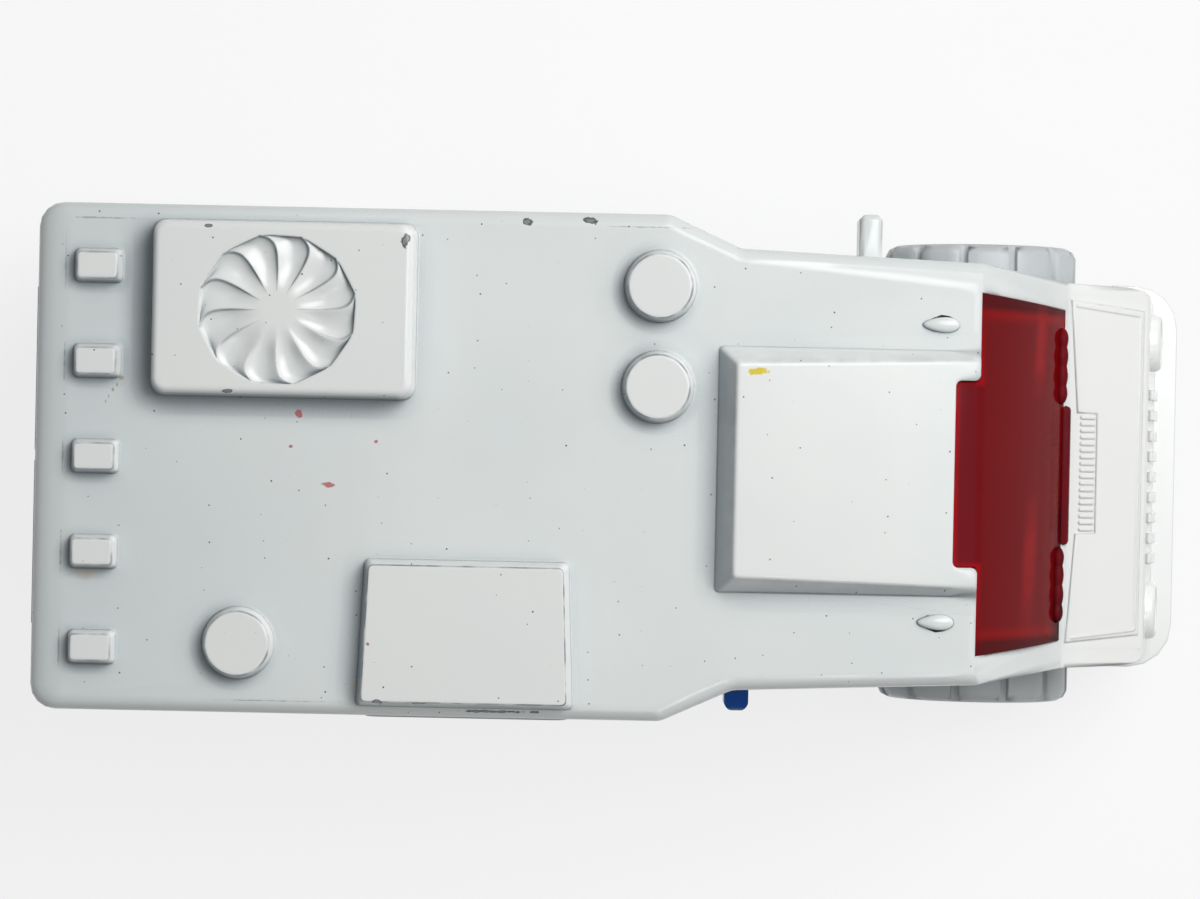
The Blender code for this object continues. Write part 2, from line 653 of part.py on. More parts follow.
def mirror(bm):
    x = SHOULDER_X + DOOR_WINDOW_FROM_SHOULDER + DOOR_WINDOW_LENGTH + DOOR_PILLAR / 2
    wall_y = CAB_WIDTH / 2
    verts = add_block(
        bm, (x - MIRROR_THICKNESS / 2, wall_y - WALL, MIRROR_LOW_Z),
        (x + MIRROR_THICKNESS / 2, BOX_HALF + MIRROR_REACH, MIRROR_LOW_Z + MIRROR_HEIGHT))
    bm.edges.index_update()
    edges = sorted({e for v in verts for e in v.link_edges}, key=lambda e: e.index)
    bmesh.ops.bevel(bm, geom=edges, offset=CASTING_ROUND, segments=1, profile=0.5, affect="EDGES",
                    material=-1)


def serving_frame(tools):
    """A raised frame round the serving window, which carries the roof hatch down the side."""
    half = SERVING_LENGTH / 2 + SERVING_FRAME
    outline = rounded_box(SERVING_X - half, SERVING_LOW_Z - SERVING_FRAME, SERVING_X + half,
                          SERVING_LOW_Z + SERVING_HEIGHT + SERVING_FRAME, WINDOW_CORNER_RADIUS)
    return cutter(prism("serving_frame", outline, -BOX_HALF - SERVING_FRAME_PROUD, -BOX_HALF + SINK,
                        tools, "Y"))


def front_bumper(tools):
    half = NOSE_WIDTH / 2 + NOSE_FROM_FRONT / 3
    corners = [(FRONT_X - BUMPER_DEPTH, -half, 0), (FRONT_X, -half, NOSE_CORNER_RADIUS),
               (FRONT_X, half, NOSE_CORNER_RADIUS), (FRONT_X - BUMPER_DEPTH, half, 0)]
    return cutter(prism("front_bumper", rounded_outline(corners), SILL_Z, BUMPER_TOP_Z, tools))


def screen_outline(gap=0.0):
    """The windscreen opening seen from above, or the pane that stands in it with a gap all round."""
    notch_x, roof_x = ROOF_END_X - SCREEN_NOTCH_DEPTH + gap, ROOF_END_X + gap
    notch_y, top_y, low_y = (width / 2 - gap for width in (
        SCREEN_NOTCH_WIDTH, SCREEN_TOP_WIDTH, SCREEN_LOW_WIDTH))
    right = [(notch_x, -notch_y, 0), (roof_x, -notch_y, 0), (roof_x, -top_y, 0),
             (COWL_X - SCREEN_LOW_MARGIN - gap, -low_y, 0)]
    return rounded_outline(right + [(x, -y, radius) for x, y, radius in reversed(right)])


def window_cuts(tools):
    """The openings: windscreen from above, door, quarter and serving windows from the sides."""
    screen = prism("windscreen_cut", screen_outline(), GLASS_LOW_Z, ROOF_Z + FAR, tools)
    door_x = SHOULDER_X + DOOR_WINDOW_FROM_SHOULDER
    door_end = door_x + DOOR_WINDOW_LENGTH
    low, high = DOOR_WINDOW_LOW_Z, DOOR_WINDOW_LOW_Z + DOOR_WINDOW_HEIGHT
    door = prism("door_window_cut", rounded_box(door_x, low, door_end, high, WINDOW_CORNER_RADIUS),
                 -FAR, FAR, tools, "Y")
    quarter = [(door_end + DOOR_PILLAR, low), (screen_slope_x(low) - SCREEN_PILLAR, low),
               (screen_slope_x(high) - SCREEN_PILLAR, high), (door_end + DOOR_PILLAR, high)]
    quarter = prism("quarter_window_cut", rounded_outline(
        [(x, z, WINDOW_CORNER_RADIUS) for x, z in quarter], steps=3), -FAR, FAR, tools, "Y")
    half = SERVING_LENGTH / 2
    serving = prism("serving_cut", rounded_box(
        SERVING_X - half, SERVING_LOW_Z, SERVING_X + half, SERVING_LOW_Z + SERVING_HEIGHT,
        WINDOW_CORNER_RADIUS), -FAR, -BOX_HALF + 2 * WALL, tools, "Y")
    for tool in (screen, door, quarter, serving):
        cutter(tool)


def small_cuts(tools):
    """Wheel arches, the slot for the interior's tab, the rivet bores and the cowl grille."""
    bm = bmesh.new()
    for x in AXLE_X.values():
        add_round(bm, TYRE_RADIUS + ARCH_CLEARANCE, TYRE_RADIUS + ARCH_CLEARANCE, -FAR, FAR, (x, AXLE_Z),
                  32, "Y")
    tab = BULKHEAD_THICKNESS / 2 + SEAT_GAP
    add_block(bm, (TAB_X - tab, -FAR, TAB_LOW_Z - SEAT_GAP),
              (TAB_X + tab, -CAB_WIDTH / 2 + 2 * WALL, TAB_LOW_Z + TAB_HEIGHT + SEAT_GAP))
    for x in POST_X.values():
        add_round(bm, POST_BORE, POST_BORE, POST_LOW_Z - FAR, POST_LOW_Z + RIVET_DEPTH + SEAT_GAP,
                  (x, 0), 12)
    cowl_grille_cut(bm)
    return cutter(object_from(bm, "small_cuts", tools))


def fan_cut(tools):
    """A pleated disc sunk in the cooler's top: each swept blade ramps down from flush and steps up again."""
    bm = bmesh.new()
    top = ROOF_Z + COOLER_HEIGHT
    pitch = math.tau / FAN_BLADES
    rings = []
    for share in FAN_RING_SHARES:
        ring = []
        for blade in range(FAN_BLADES):
            turn = blade * pitch + FAN_SWEEP * share ** 2
            for step, depth in ((0.0, FAN_FLUSH_DEPTH), (FAN_STEEP_SHARE * pitch, FAN_DEPTH * share)):
                ring.append(bm.verts.new((
                    share * FAN_RADIUS * math.cos(turn + step), share * FAN_RADIUS * math.sin(turn + step),
                    top - max(depth, FAN_FLUSH_DEPTH))))
        rings.append(ring)
    rings.append([bm.verts.new((v.co.x, v.co.y, top + FAN_DEPTH)) for v in rings[-1]])
    for inner, outer in zip(rings, rings[1:]):
        for i in range(len(inner)):
            bm.faces.new((inner[i - 1], outer[i - 1], outer[i], inner[i]))
    hub = bm.verts.new((0, 0, top - FAN_FLUSH_DEPTH))
    for a, b in zip(rings[0], rings[0][1:] + rings[0][:1]):
        bm.faces.new((hub, a, b))
    bm.faces.new(rings[-1])
    bmesh.ops.triangulate(bm, faces=bm.faces)
    bmesh.ops.translate(bm, vec=(REAR_X + COOLER_FROM_REAR, COOLER_Y, 0), verts=bm.verts)
    return cutter(object_from(bm, "fan_cut", tools))


def body_posts(tools):
    bm = bmesh.new()
    for x in POST_X.values():
        add_round(bm, POST_RADIUS, POST_RADIUS, POST_LOW_Z, ROOF_Z - SINK, (x, 0), 16)
    return cutter(object_from(bm, "body_posts", tools))


def body_casting(parts, tools):
    body = rounded_shell("body_casting", SILL_Z, parts)
    side = cutter(prism("body_side", body_profile(), -FAR, FAR, tools, "Y"))
    hollow = cutter(prism("body_hollow", body_plan(WALL), SILL_Z - WALL, ROOF_Z - WALL, tools))
    hollow_side = cutter(prism("hollow_side", body_profile(WALL), -FAR, FAR, tools, "Y"))
    boolean(hollow, hollow_side, "INTERSECT")
    boolean(body, side, "INTERSECT")
    soften_front_edges(body)
    boolean(body, hollow, "DIFFERENCE")
    casts = new_collection("body_casts", tools)
    front_bumper(casts)
    serving_frame(casts)
    body_posts(casts)
    bm = bmesh.new()
    for add in (cooler_box, serving_hatch, marker_lamps, roof_vents, cab_panel, lamp_bumps,
                headlamps_and_grille, hood_plate, rear_doors, mirror):
        add(bm)
    cutter(object_from(bm, "cast_details", casts))
    boolean_all(body, casts, "UNION")
    cuts = new_collection("body_cuts", tools)
    window_cuts(cuts)
    small_cuts(cuts)
    fan_cut(cuts)
    boolean_all(body, cuts, "DIFFERENCE")
    paint(body, WHITE_ENAMEL)
    shade_round(body)


# Window moulding

def window_insert(parts, tools):
    """One tinted shell inside the cab, with a windscreen pane that stands up into its opening."""
    outer = prism("window_insert", body_plan(INSIDE), GLASS_LOW_Z, ROOF_Z - INSIDE, parts)
    boolean(outer, cutter(prism("glass_side", body_profile(INSIDE), -FAR, FAR, tools, "Y")), "INTERSECT")
    pane = cutter(prism("screen_pane", screen_outline(PANE_GAP), GLASS_LOW_Z + PANE_GAP, ROOF_Z, tools))
    pane_side = cutter(prism("pane_side", body_profile(PANE_DEPTH), -FAR, FAR, tools, "Y"))
    boolean(pane, pane_side, "INTERSECT")
    boolean(outer, pane, "UNION")
    core = cutter(prism("glass_core", body_plan(INSIDE + GLASS), SILL_Z, ROOF_Z - INSIDE - GLASS, tools))
    core_side = cutter(prism("glass_core_side", body_profile(INSIDE + GLASS), -FAR, FAR, tools, "Y"))
    boolean(core, core_side, "INTERSECT")
    boolean(outer, core, "DIFFERENCE")
    bm = bmesh.new()
    back = SHOULDER_X + DOOR_WINDOW_FROM_SHOULDER - GLASS_BEHIND_WINDOW
    add_block(bm, (-FAR, -FAR, -FAR), (back, FAR, FAR))
    boolean(outer, cutter(object_from(bm, "glass_trim", tools)), "DIFFERENCE")
    paint(outer, RED_GLAZING)
    return outer


# Interior moulding

def counter(bm):
    """The serving counter: a shelf through the window, on a panel that stands on the floor."""
    half = SERVING_LENGTH / 2 - SEAT_GAP
    low = SERVING_LOW_Z + SEAT_GAP
    outer = -BOX_HALF - COUNTER_REACH
    panel_y = -BOX_HALF + INSIDE
    add_block(bm, (SERVING_X - half, outer, low),
              (SERVING_X + half, panel_y + COUNTER_DEPTH, low + COUNTER_THICKNESS))
    return (SERVING_X - half, panel_y + COUNTER_DEPTH / 2, FLOOR_Z + SINK), (
        SERVING_X + half, panel_y + COUNTER_DEPTH, low + SINK)


def interior_floor(parts):
    front = FRONT_X - DASH_FROM_FRONT + DASH_LENGTH
    floor = prism("interior_insert", body_plan(INSIDE), FLOOR_Z, FLOOR_TOP_Z, parts)
    return floor, front


def interior_blocks(tools):
    """What stands on the floor, in two sets so that no set overlaps itself."""
    first, second = bmesh.new(), bmesh.new()
    panel = counter(first)
    add_block(second, *panel)
    half = BULKHEAD_THICKNESS / 2
    inner = CAB_WIDTH / 2 - INSIDE - SEAT_GAP
    add_block(first, (TAB_X - half, -inner, FLOOR_Z + SINK), (TAB_X + half, inner, BULKHEAD_TOP_Z))
    add_block(second, (TAB_X - half, -CAB_WIDTH / 2 - TAB_REACH, TAB_LOW_Z),
              (TAB_X + half, -inner + WALL, TAB_LOW_Z + TAB_HEIGHT))
    chest_x = REAR_X + CHEST_FROM_REAR
    chest_y = BOX_HALF - INSIDE - SEAT_GAP
    add_block(first, (chest_x - CHEST_LENGTH / 2, chest_y - CHEST_DEPTH, FLOOR_Z + SINK),
              (chest_x + CHEST_LENGTH / 2, chest_y, CHEST_TOP_Z))
    pitch = CHEST_LENGTH / CHEST_LIDS
    lid = pitch / 2 - CHEST_LID_PROUD
    for i in range(CHEST_LIDS):
        x = chest_x + (i - (CHEST_LIDS - 1) / 2) * pitch
        add_block(second, (x - lid, chest_y - CHEST_DEPTH + WALL, CHEST_TOP_Z - SINK),
                  (x + lid, chest_y - WALL, CHEST_TOP_Z + CHEST_LID_PROUD), CHEST_LID_PROUD / 2)
    seat_x = TAB_X + half + SEAT_AHEAD_OF_BULKHEAD
    for side in (-1, 1):
        low_y, high_y = side * SEAT_Y - SEAT_WIDTH / 2, side * SEAT_Y + SEAT_WIDTH / 2
        add_block(first, (seat_x, low_y, FLOOR_Z + SINK),
                  (seat_x + SEAT_LENGTH, high_y, FLOOR_TOP_Z + SEAT_HEIGHT))
        add_block(second, (seat_x, low_y + WALL / 2, FLOOR_TOP_Z + SINK),
                  (seat_x + SEAT_BACK_THICKNESS, high_y - WALL / 2, FLOOR_TOP_Z + SEAT_BACK_HEIGHT))
    dash_x = FRONT_X - DASH_FROM_FRONT
    add_block(first, (dash_x, -DASH_WIDTH / 2, FLOOR_Z + SINK),
              (dash_x + DASH_LENGTH, DASH_WIDTH / 2, DASH_TOP_Z))
    return [cutter(object_from(first, "fittings", tools)), cutter(object_from(second, "fitting_tops", tools))]


def steering_wheel(tools):
    """A rim and its column, leaning back from the dashboard in front of the left-hand seat."""
    bm = bmesh.new()
    steps = 16
    ring = bmesh.ops.create_circle(bm, segments=6, radius=STEERING_RIM, matrix=Matrix.Translation(
        (STEERING_RADIUS, 0, 0)) @ Matrix.Rotation(math.pi / 2, 4, "X"))["verts"]
    edges = list({e for v in ring for e in v.link_edges})
    bmesh.ops.spin(bm, geom=ring + edges, cent=(0, 0, 0), axis=(0, 0, 1), angle=math.tau, steps=steps,
                   use_merge=True)
    bmesh.ops.remove_doubles(bm, verts=bm.verts, dist=0.001 * MM)
    rim = object_from(bm, "steering_rim", tools)
    bm = bmesh.new()
    add_round(bm, STEERING_RIM, STEERING_RIM, -3 * STEERING_RADIUS, STEERING_RIM, (0, 0), 8)
    column = object_from(bm, "steering_column", tools)
    bm = bmesh.new()
    add_block(bm, (-STEERING_RADIUS, -0.8 * STEERING_RIM, -0.4 * STEERING_RIM),
              (STEERING_RADIUS, 0.8 * STEERING_RIM, 0.4 * STEERING_RIM))
    spoke = object_from(bm, "steering_spoke", tools)
    reach = STEERING_RADIUS * math.cos(STEERING_TILT)
    place = Matrix.Translation((FRONT_X - DASH_FROM_FRONT - reach, SEAT_Y, DASH_TOP_Z + reach))
    for piece in (rim, column, spoke):
        piece.matrix_world = place @ Matrix.Rotation(-STEERING_TILT, 4, "Y")
        cutter(piece)
    return [rim, spoke, column]


def interior_cuts(front, tools):
    """Trims the floor at the dashboard and clears the posts."""
    bm = bmesh.new()
    add_block(bm, (front, -FAR, -FAR), (front + FAR, FAR, FAR))
    for x in POST_X.values():
        add_round(bm, POST_RADIUS + SEAT_GAP, POST_RADIUS + SEAT_GAP, -FAR, FAR, (x, 0), 16)
    return cutter(object_from(bm, "interior_cuts", tools))


def interior_legs(tools):
    """Legs that stand the floor on the base, between the wheels."""
    bm = bmesh.new()
    for x in (POST_X["front"], POST_X["rear"]):
        for side in (-1, 1):
            add_block(bm, (x - LEG_SIZE / 2, side * LEG_Y - LEG_SIZE / 2, BASE_TOP_Z + SEAT_GAP),
                      (x + LEG_SIZE / 2, side * LEG_Y + LEG_SIZE / 2, FLOOR_Z + SINK))
    return cutter(object_from(bm, "interior_legs", tools))


def interior_insert(parts, tools):
    interior, front = interior_floor(parts)
    for tool in interior_blocks(tools) + steering_wheel(tools):
        boolean(interior, tool, "UNION")
    boolean(interior, interior_cuts(front, tools), "DIFFERENCE")
    boolean(interior, interior_legs(tools), "UNION")
    paint(interior, BLUE_PLASTIC)


# Base

def base_relief(bm):
    """Frame rails under the base, between the axles."""
    for side in (-1, 1):
        y = side * RAIL_Y
        add_block(bm, (AXLE_X["rear"] + AXLE_CASE_RADIUS + RAIL_WIDTH, y - RAIL_WIDTH / 2,
                       BASE_BOTTOM_Z - RELIEF_DEPTH),
                  (AXLE_X["front"] - AXLE_CASE_RADIUS - RAIL_WIDTH, y + RAIL_WIDTH / 2, BASE_BOTTOM_Z + SINK))
    for x in AXLE_X.values():
        add_block(bm, (x - AXLE_CASE_RADIUS, -RAIL_Y, BASE_BOTTOM_Z - RELIEF_DEPTH),
                  (x + AXLE_CASE_RADIUS, RAIL_Y, BASE_BOTTOM_Z + SINK))


def drive_tunnel(tools):
    bm = bmesh.new()
    add_round(bm, TUNNEL_RADIUS, TUNNEL_RADIUS, AXLE_X["rear"], AXLE_X["front"],
              (0, BASE_BOTTOM_Z + SINK / 2), 12, "X")
    return cutter(object_from(bm, "drive_tunnel", tools))


def base_cuts(tools):
    """Wheel notches, axle grooves open to the top, and rivet holes with their counterbores."""
    bm = bmesh.new()
    reach = TYRE_RADIUS + BASE_WHEEL_CLEARANCE
    for x in AXLE_X.values():
        for side in (-1, 1):
            near, away = side * (WHEEL_INNER_Y - BASE_WHEEL_CLEARANCE), side * FAR
            add_block(bm, (x - reach, min(near, away), -FAR), (x + reach, max(near, away), FAR))
    tool = cutter(object_from(bm, "wheel_notches", tools))
    bm = bmesh.new()
    groove = AXLE_RADIUS + AXLE_CLEARANCE
    for x in AXLE_X.values():
        add_block(bm, (x - groove, -FAR, AXLE_Z - groove), (x + groove, FAR, FAR))
    for x in POST_X.values():
        add_round(bm, POST_BORE, POST_BORE, -FAR, FAR, (x, 0), 12)
    return [tool, cutter(object_from(bm, "base_holes", tools))]


def rivet_recess(tools):
    bm = bmesh.new()
    radius = RIVET_HEAD_RADIUS + SEAT_GAP
    for x in POST_X.values():
        add_round(bm, radius, radius, -FAR, BASE_BOTTOM_Z + RIVET_HEAD_HEIGHT + SEAT_GAP, (x, 0), 16)
    return cutter(object_from(bm, "rivet_recess", tools))


def chassis_base(parts, tools):
    base = prism("chassis_base", body_plan(BASE_INSET), BASE_BOTTOM_Z, BASE_TOP_Z, parts)
    bm = bmesh.new()
    base_relief(bm)
    boolean(base, cutter(object_from(bm, "base_relief", tools)), "UNION")
    boolean(base, drive_tunnel(tools), "UNION")
    for tool in [*base_cuts(tools), rivet_recess(tools)]:
        boolean(base, tool, "DIFFERENCE")
    paint(base, BLUE_PLASTIC)


# Rivets

def rivet(name, x, parts):
    head_top = BASE_BOTTOM_Z + RIVET_HEAD_HEIGHT
    profile = [(0, head_top - RIVET_HEAD_HEIGHT), (RIVET_HEAD_RADIUS * 0.7, head_top - RIVET_HEAD_HEIGHT),
               (RIVET_HEAD_RADIUS, head_top - RIVET_HEAD_HEIGHT / 2), (RIVET_HEAD_RADIUS, head_top),
               (RIVET_RADIUS, head_top), (RIVET_RADIUS, POST_LOW_Z + RIVET_DEPTH),
               (0, POST_LOW_Z + RIVET_DEPTH)]
    made = turned(name, profile, 16, parts)
    made.data.transform(Matrix.Rotation(math.pi / 2, 4, "X"))
    made.location = (x, 0, 0)
    paint(made, BRIGHT_STEEL)
    shade_round(made)


# Axles and wheels

def hub_outer_y():
    """Where the hub's boss ends, behind the tyre's outer face by the dish."""
    return WHEEL_OUTER_Y - HUB_DISH


def axle(name, x, parts):
    head = hub_outer_y() + AXLE_SHOULDER_GAP
    shaft = AXLE_RADIUS
    half = [(shaft, head), (AXLE_HEAD_RADIUS, head), (AXLE_HEAD_RADIUS * 0.7, head + AXLE_HEAD)]
    profile = [(0, -head - AXLE_HEAD), *[(r, -y) for r, y in reversed(half)], *half, (0, head + AXLE_HEAD)]
    made = turned(name, profile, AXLE_SIDES, parts, math.pi / AXLE_SIDES)
    made.location = (x, 0, AXLE_Z)
    paint(made, BRIGHT_STEEL)
    shade_round(made)


def tyre_profile():
    outer, inner = WHEEL_OUTER_Y, WHEEL_INNER_Y
    soft = TYRE_SHOULDER
    return [(TYRE_BORE, inner), (TYRE_RADIUS - soft, inner), (TYRE_RADIUS - soft / 3, inner + soft / 3),
            (TYRE_RADIUS, inner + soft), (TYRE_RADIUS, outer - soft),
            (TYRE_RADIUS - soft / 3, outer - soft / 3), (TYRE_RADIUS - soft, outer), (TYRE_BORE, outer)]


def cleat_cut(tools):
    """Grooves across the tread, placed so that a cleat stands on the ground."""
    bm = bmesh.new()
    for i in range(CLEATS):
        turn = Matrix.Rotation(math.tau * (i + 0.5) / CLEATS, 4, "Y")
        add_block(bm, (-CLEAT_GROOVE / 2, WHEEL_INNER_Y - WALL, TYRE_RADIUS - CLEAT_DEPTH),
                  (CLEAT_GROOVE / 2, WHEEL_OUTER_Y + WALL, TYRE_RADIUS + WALL), turn=turn, about=(0, 0, 0))
    return cutter(object_from(bm, "cleat_cut", tools))


def hub_profile():
    rim = TYRE_BORE - SEAT_GAP
    face = hub_outer_y()
    bore = AXLE_RADIUS + AXLE_CLEARANCE
    return [(bore, face - HUB_WEB * 2), (HUB_BOSS_RADIUS, face - HUB_WEB * 2),
            (HUB_BOSS_RADIUS + HUB_RIM, face - HUB_WEB * 1.5), (rim, face - HUB_WEB * 1.5),
            (rim, face + HUB_DISH), (rim - HUB_RIM / 2, face + HUB_DISH),
            (rim - HUB_RIM, face + HUB_DISH * 0.5),
            (HUB_BOSS_RADIUS + HUB_RIM, face - HUB_WEB * 0.5), (HUB_BOSS_RADIUS, face), (bore, face)]


def hub_hole_cut(tools):
    bm = bmesh.new()
    ring = (HUB_BOSS_RADIUS + HUB_RIM + TYRE_BORE - SEAT_GAP - HUB_RIM) / 2
    for i in range(HUB_HOLES):
        turn = math.tau * (i + 0.5) / HUB_HOLES
        add_round(bm, HUB_HOLE_RADIUS, HUB_HOLE_RADIUS, 0, FAR,
                  (ring * math.cos(turn), ring * math.sin(turn)), 8, "Y")
    return cutter(object_from(bm, "hub_hole_cut", tools))


def wheels(parts, tools):
    cleats, holes = cleat_cut(tools), hub_hole_cut(tools)
    for end, x in AXLE_X.items():
        for hand, turn in (("left", 0.0), ("right", math.pi)):
            place = Matrix.Translation((x, 0, AXLE_Z)) @ Matrix.Rotation(turn, 4, "Z")
            tyre = turned(f"tyre_{end}_{hand}", tyre_profile(), TYRE_STEPS, parts, math.pi / TYRE_STEPS)
            hub = turned(f"hub_{end}_{hand}", hub_profile(), HUB_STEPS, parts)
            for piece, tool, finish in ((tyre, cleats, WHITE_PLASTIC), (hub, holes, WHITE_PLASTIC)):
                cut_in_place(piece, tool)
                piece.matrix_world = place
                paint(piece, finish)
                shade_round(piece)


def cut_in_place(piece, tool):
    """Cuts a wheel piece while it stands on its own axis, before it goes to its place."""
    boolean(piece, tool, "DIFFERENCE")
    bpy.context.view_layer.update()
    evaluated = piece.evaluated_get(bpy.context.evaluated_depsgraph_get())
    piece.data = bpy.data.meshes.new_from_object(evaluated)
    piece.modifiers.clear()


def main():
    clear_scene()
    parts = new_collection("ice_cream_truck")
    tools = new_collection("cutters")
    body_casting(parts, tools)
    window_insert(parts, tools)
    interior_insert(parts, tools)
    chassis_base(parts, tools)
    for end, x in POST_X.items():
        rivet(f"rivet_{end}", x, parts)
    for end, x in AXLE_X.items():
        axle(f"axle_{end}", x, parts)
    wheels(parts, tools)


main()
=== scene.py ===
"""Looks of a die-cast ice cream truck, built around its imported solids. Metres, +X forward, +Y left, +Z up."""

import math

import bmesh
import bpy
from mathutils import Matrix, Vector


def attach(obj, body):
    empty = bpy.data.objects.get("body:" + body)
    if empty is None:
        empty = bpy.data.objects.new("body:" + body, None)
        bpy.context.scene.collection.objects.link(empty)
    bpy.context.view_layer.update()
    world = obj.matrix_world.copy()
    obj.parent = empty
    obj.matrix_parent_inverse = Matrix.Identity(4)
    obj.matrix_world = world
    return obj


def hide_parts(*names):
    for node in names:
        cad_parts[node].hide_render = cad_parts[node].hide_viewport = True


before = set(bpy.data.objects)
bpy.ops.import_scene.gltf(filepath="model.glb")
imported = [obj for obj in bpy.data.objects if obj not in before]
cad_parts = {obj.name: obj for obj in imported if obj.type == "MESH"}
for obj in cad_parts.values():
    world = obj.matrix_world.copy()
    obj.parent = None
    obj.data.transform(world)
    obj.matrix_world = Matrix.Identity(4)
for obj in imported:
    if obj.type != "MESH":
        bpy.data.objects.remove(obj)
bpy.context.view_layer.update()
mm = 0.001

# Body casting: one hollow zinc casting that carries the whole roof relief, riveted down on its base.
# It is sprayed with white enamel and stoved, so the paint rounds every edge and foot, and a few
# corners are chipped.

roof_z = 34.0 * mm
roof_front = 22.8 * mm
notch_x, notch_half = 21.2 * mm, 6.0 * mm
cowl_x, cowl_z = 29.8 * mm, 20.8 * mm
hood_end_x, hood_end_z = 35.6 * mm, 18.2 * mm
hood_fall = (hood_end_z - cowl_z) / (hood_end_x - cowl_x)
enamel_round = 0.22 * mm
weld_distance = 0.002 * mm


def linear(hex_code):
    """An sRGB hex colour as the linear colour that a shader socket takes."""
    parts = [int(hex_code[i:i + 2], 16) / 255 for i in (1, 3, 5)]
    return (*[c / 12.92 if c <= 0.04045 else ((c + 0.055) / 1.055) ** 2.4 for c in parts], 1.0)


def add_node(tree, kind, inputs=None, **settings):
    """One shader node; an input takes a value or another node's output, and a mix is always of colours."""
    made = tree.nodes.new("ShaderNode" + kind)
    if kind == "Mix":
        made.data_type = "RGBA"
    for name, value in settings.items():
        setattr(made, name, value)
    for key, value in (inputs or {}).items():
        if isinstance(value, bpy.types.NodeSocket):
            tree.links.new(value, made.inputs[key])
        else:
            made.inputs[key].default_value = value
    return made


def new_finish(name):
    """An empty material: its tree, its Principled shader and its Object coordinates."""
    made = bpy.data.materials.new(name)
    made.use_nodes = True
    tree = made.node_tree
    return made, tree, tree.nodes["Principled BSDF"], add_node(tree, "TexCoord").outputs["Object"]


def welded_copy(node):
    """A node's triangles with their shared corners merged, so that round faces shade smoothly."""
    bm = bmesh.new()
    bm.from_mesh(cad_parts[node].data)
    bmesh.ops.remove_doubles(bm, verts=bm.verts, dist=weld_distance)
    return bm


def verts_of(geometry):
    """The vertices in what a bmesh operator gives back."""
    return [part for part in geometry if isinstance(part, bmesh.types.BMVert)]


def parts_of(verts):
    """Vertices together with the edges and faces at them."""
    return verts + list({e for v in verts for e in v.link_edges}) + list({f for v in verts for f in v.link_faces})


def everything(bm):
    """All of a bmesh's vertices, edges and faces, as its operators take them."""
    return list(bm.verts) + list(bm.edges) + list(bm.faces)


def soften(bm, edges, radius, segments, clamp=True):
    """Rounds edges to a radius."""
    return bmesh.ops.bevel(bm, geom=edges, offset=radius, offset_type="OFFSET", affect="EDGES", segments=segments,
                           profile=0.5, material=-1, clamp_overlap=clamp)


def finish_piece(bm, name, finish, body, stands_for=None, sharp=math.radians(32)):
    """Turns a bmesh into a piece that rides on a body, smooth but for its sharp edges."""
    mesh = bpy.data.meshes.new(name)
    bm.to_mesh(mesh)
    bm.free()
    mesh.shade_smooth()
    mesh.set_sharp_from_angle(angle=sharp)
    mesh.materials.append(finish)
    piece = bpy.data.objects.new(name, mesh)
    bpy.context.scene.collection.objects.link(piece)
    weights = piece.modifiers.new("flat_faces_first", "WEIGHTED_NORMAL")
    weights.keep_sharp = True
    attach(piece, body)
    if stands_for:
        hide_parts(stands_for)
    return piece


# Gloss white enamel, sprayed and stoved: a cool white with a fine orange peel, fine broken grey lines
# along the crisp edges, and dust specks fired into it. Much of the grey and white below is painted light
# and shade: painted shade in corners, feet and creases, painted shadow beside the raised pieces, and
# walls painted grey or white by the way they face the lamp, matched to the roof as it looks from above.
roof_edge_z, relief_foot_z = 33.2 * mm, 33.93 * mm
shade_reach = 2.6 * mm
to_rear_right = (-0.86, -0.5, 0)
lean_front_left = (0.62, 0.42, 0)
enamel, tree, shader, place = new_finish("stoved_white_enamel")
cloud = add_node(tree, "TexNoise", {"Vector": place, "Scale": 1 / (9 * mm), "Detail": 3.0})
paint = add_node(tree, "Mix", {
    0: cloud.outputs[0], 6: linear("#E1E8E8"), 7: linear("#EBEEEC")}).outputs[2]

# The paint rounds every edge a little, and fills the corners where the pillars leave the roof most.
pillar_x, pillar_low_z, pillar_round = 22.9 * mm, 31.5 * mm, 0.7 * mm
position = add_node(tree, "SeparateXYZ", {0: place})
at_pillar = add_node(tree, "Math", {0: position.outputs["X"], 1: pillar_x}, operation="SUBTRACT")
at_pillar = add_node(tree, "Math", {0: at_pillar.outputs[0]}, operation="ABSOLUTE")
at_pillar = add_node(tree, "MapRange", {
    "Value": at_pillar.outputs[0], 1: 0.4 * mm, 2: 1.8 * mm, 3: pillar_round, 4: 0.0})
up_there = add_node(tree, "Math", {0: position.outputs["Z"], 1: pillar_low_z}, operation="GREATER_THAN")
rounded = add_node(tree, "Math", {0: at_pillar.outputs[0], 1: up_there.outputs[0], 2: enamel_round},
                   operation="MULTIPLY_ADD")
rounding = add_node(tree, "Bevel", {"Radius": rounded.outputs[0]}, samples=6)
crevice_shade = add_node(tree, "AmbientOcclusion", {"Distance": shade_reach}, samples=8)
on_roof = add_node(tree, "Math", {0: position.outputs["Z"], 1: roof_edge_z}, operation="GREATER_THAN")
on_relief = add_node(tree, "Math", {0: position.outputs["Z"], 1: relief_foot_z}, operation="GREATER_THAN")
facing = add_node(tree, "VectorMath", {0: rounding.outputs[0], 1: to_rear_right}, operation="DOT_PRODUCT")
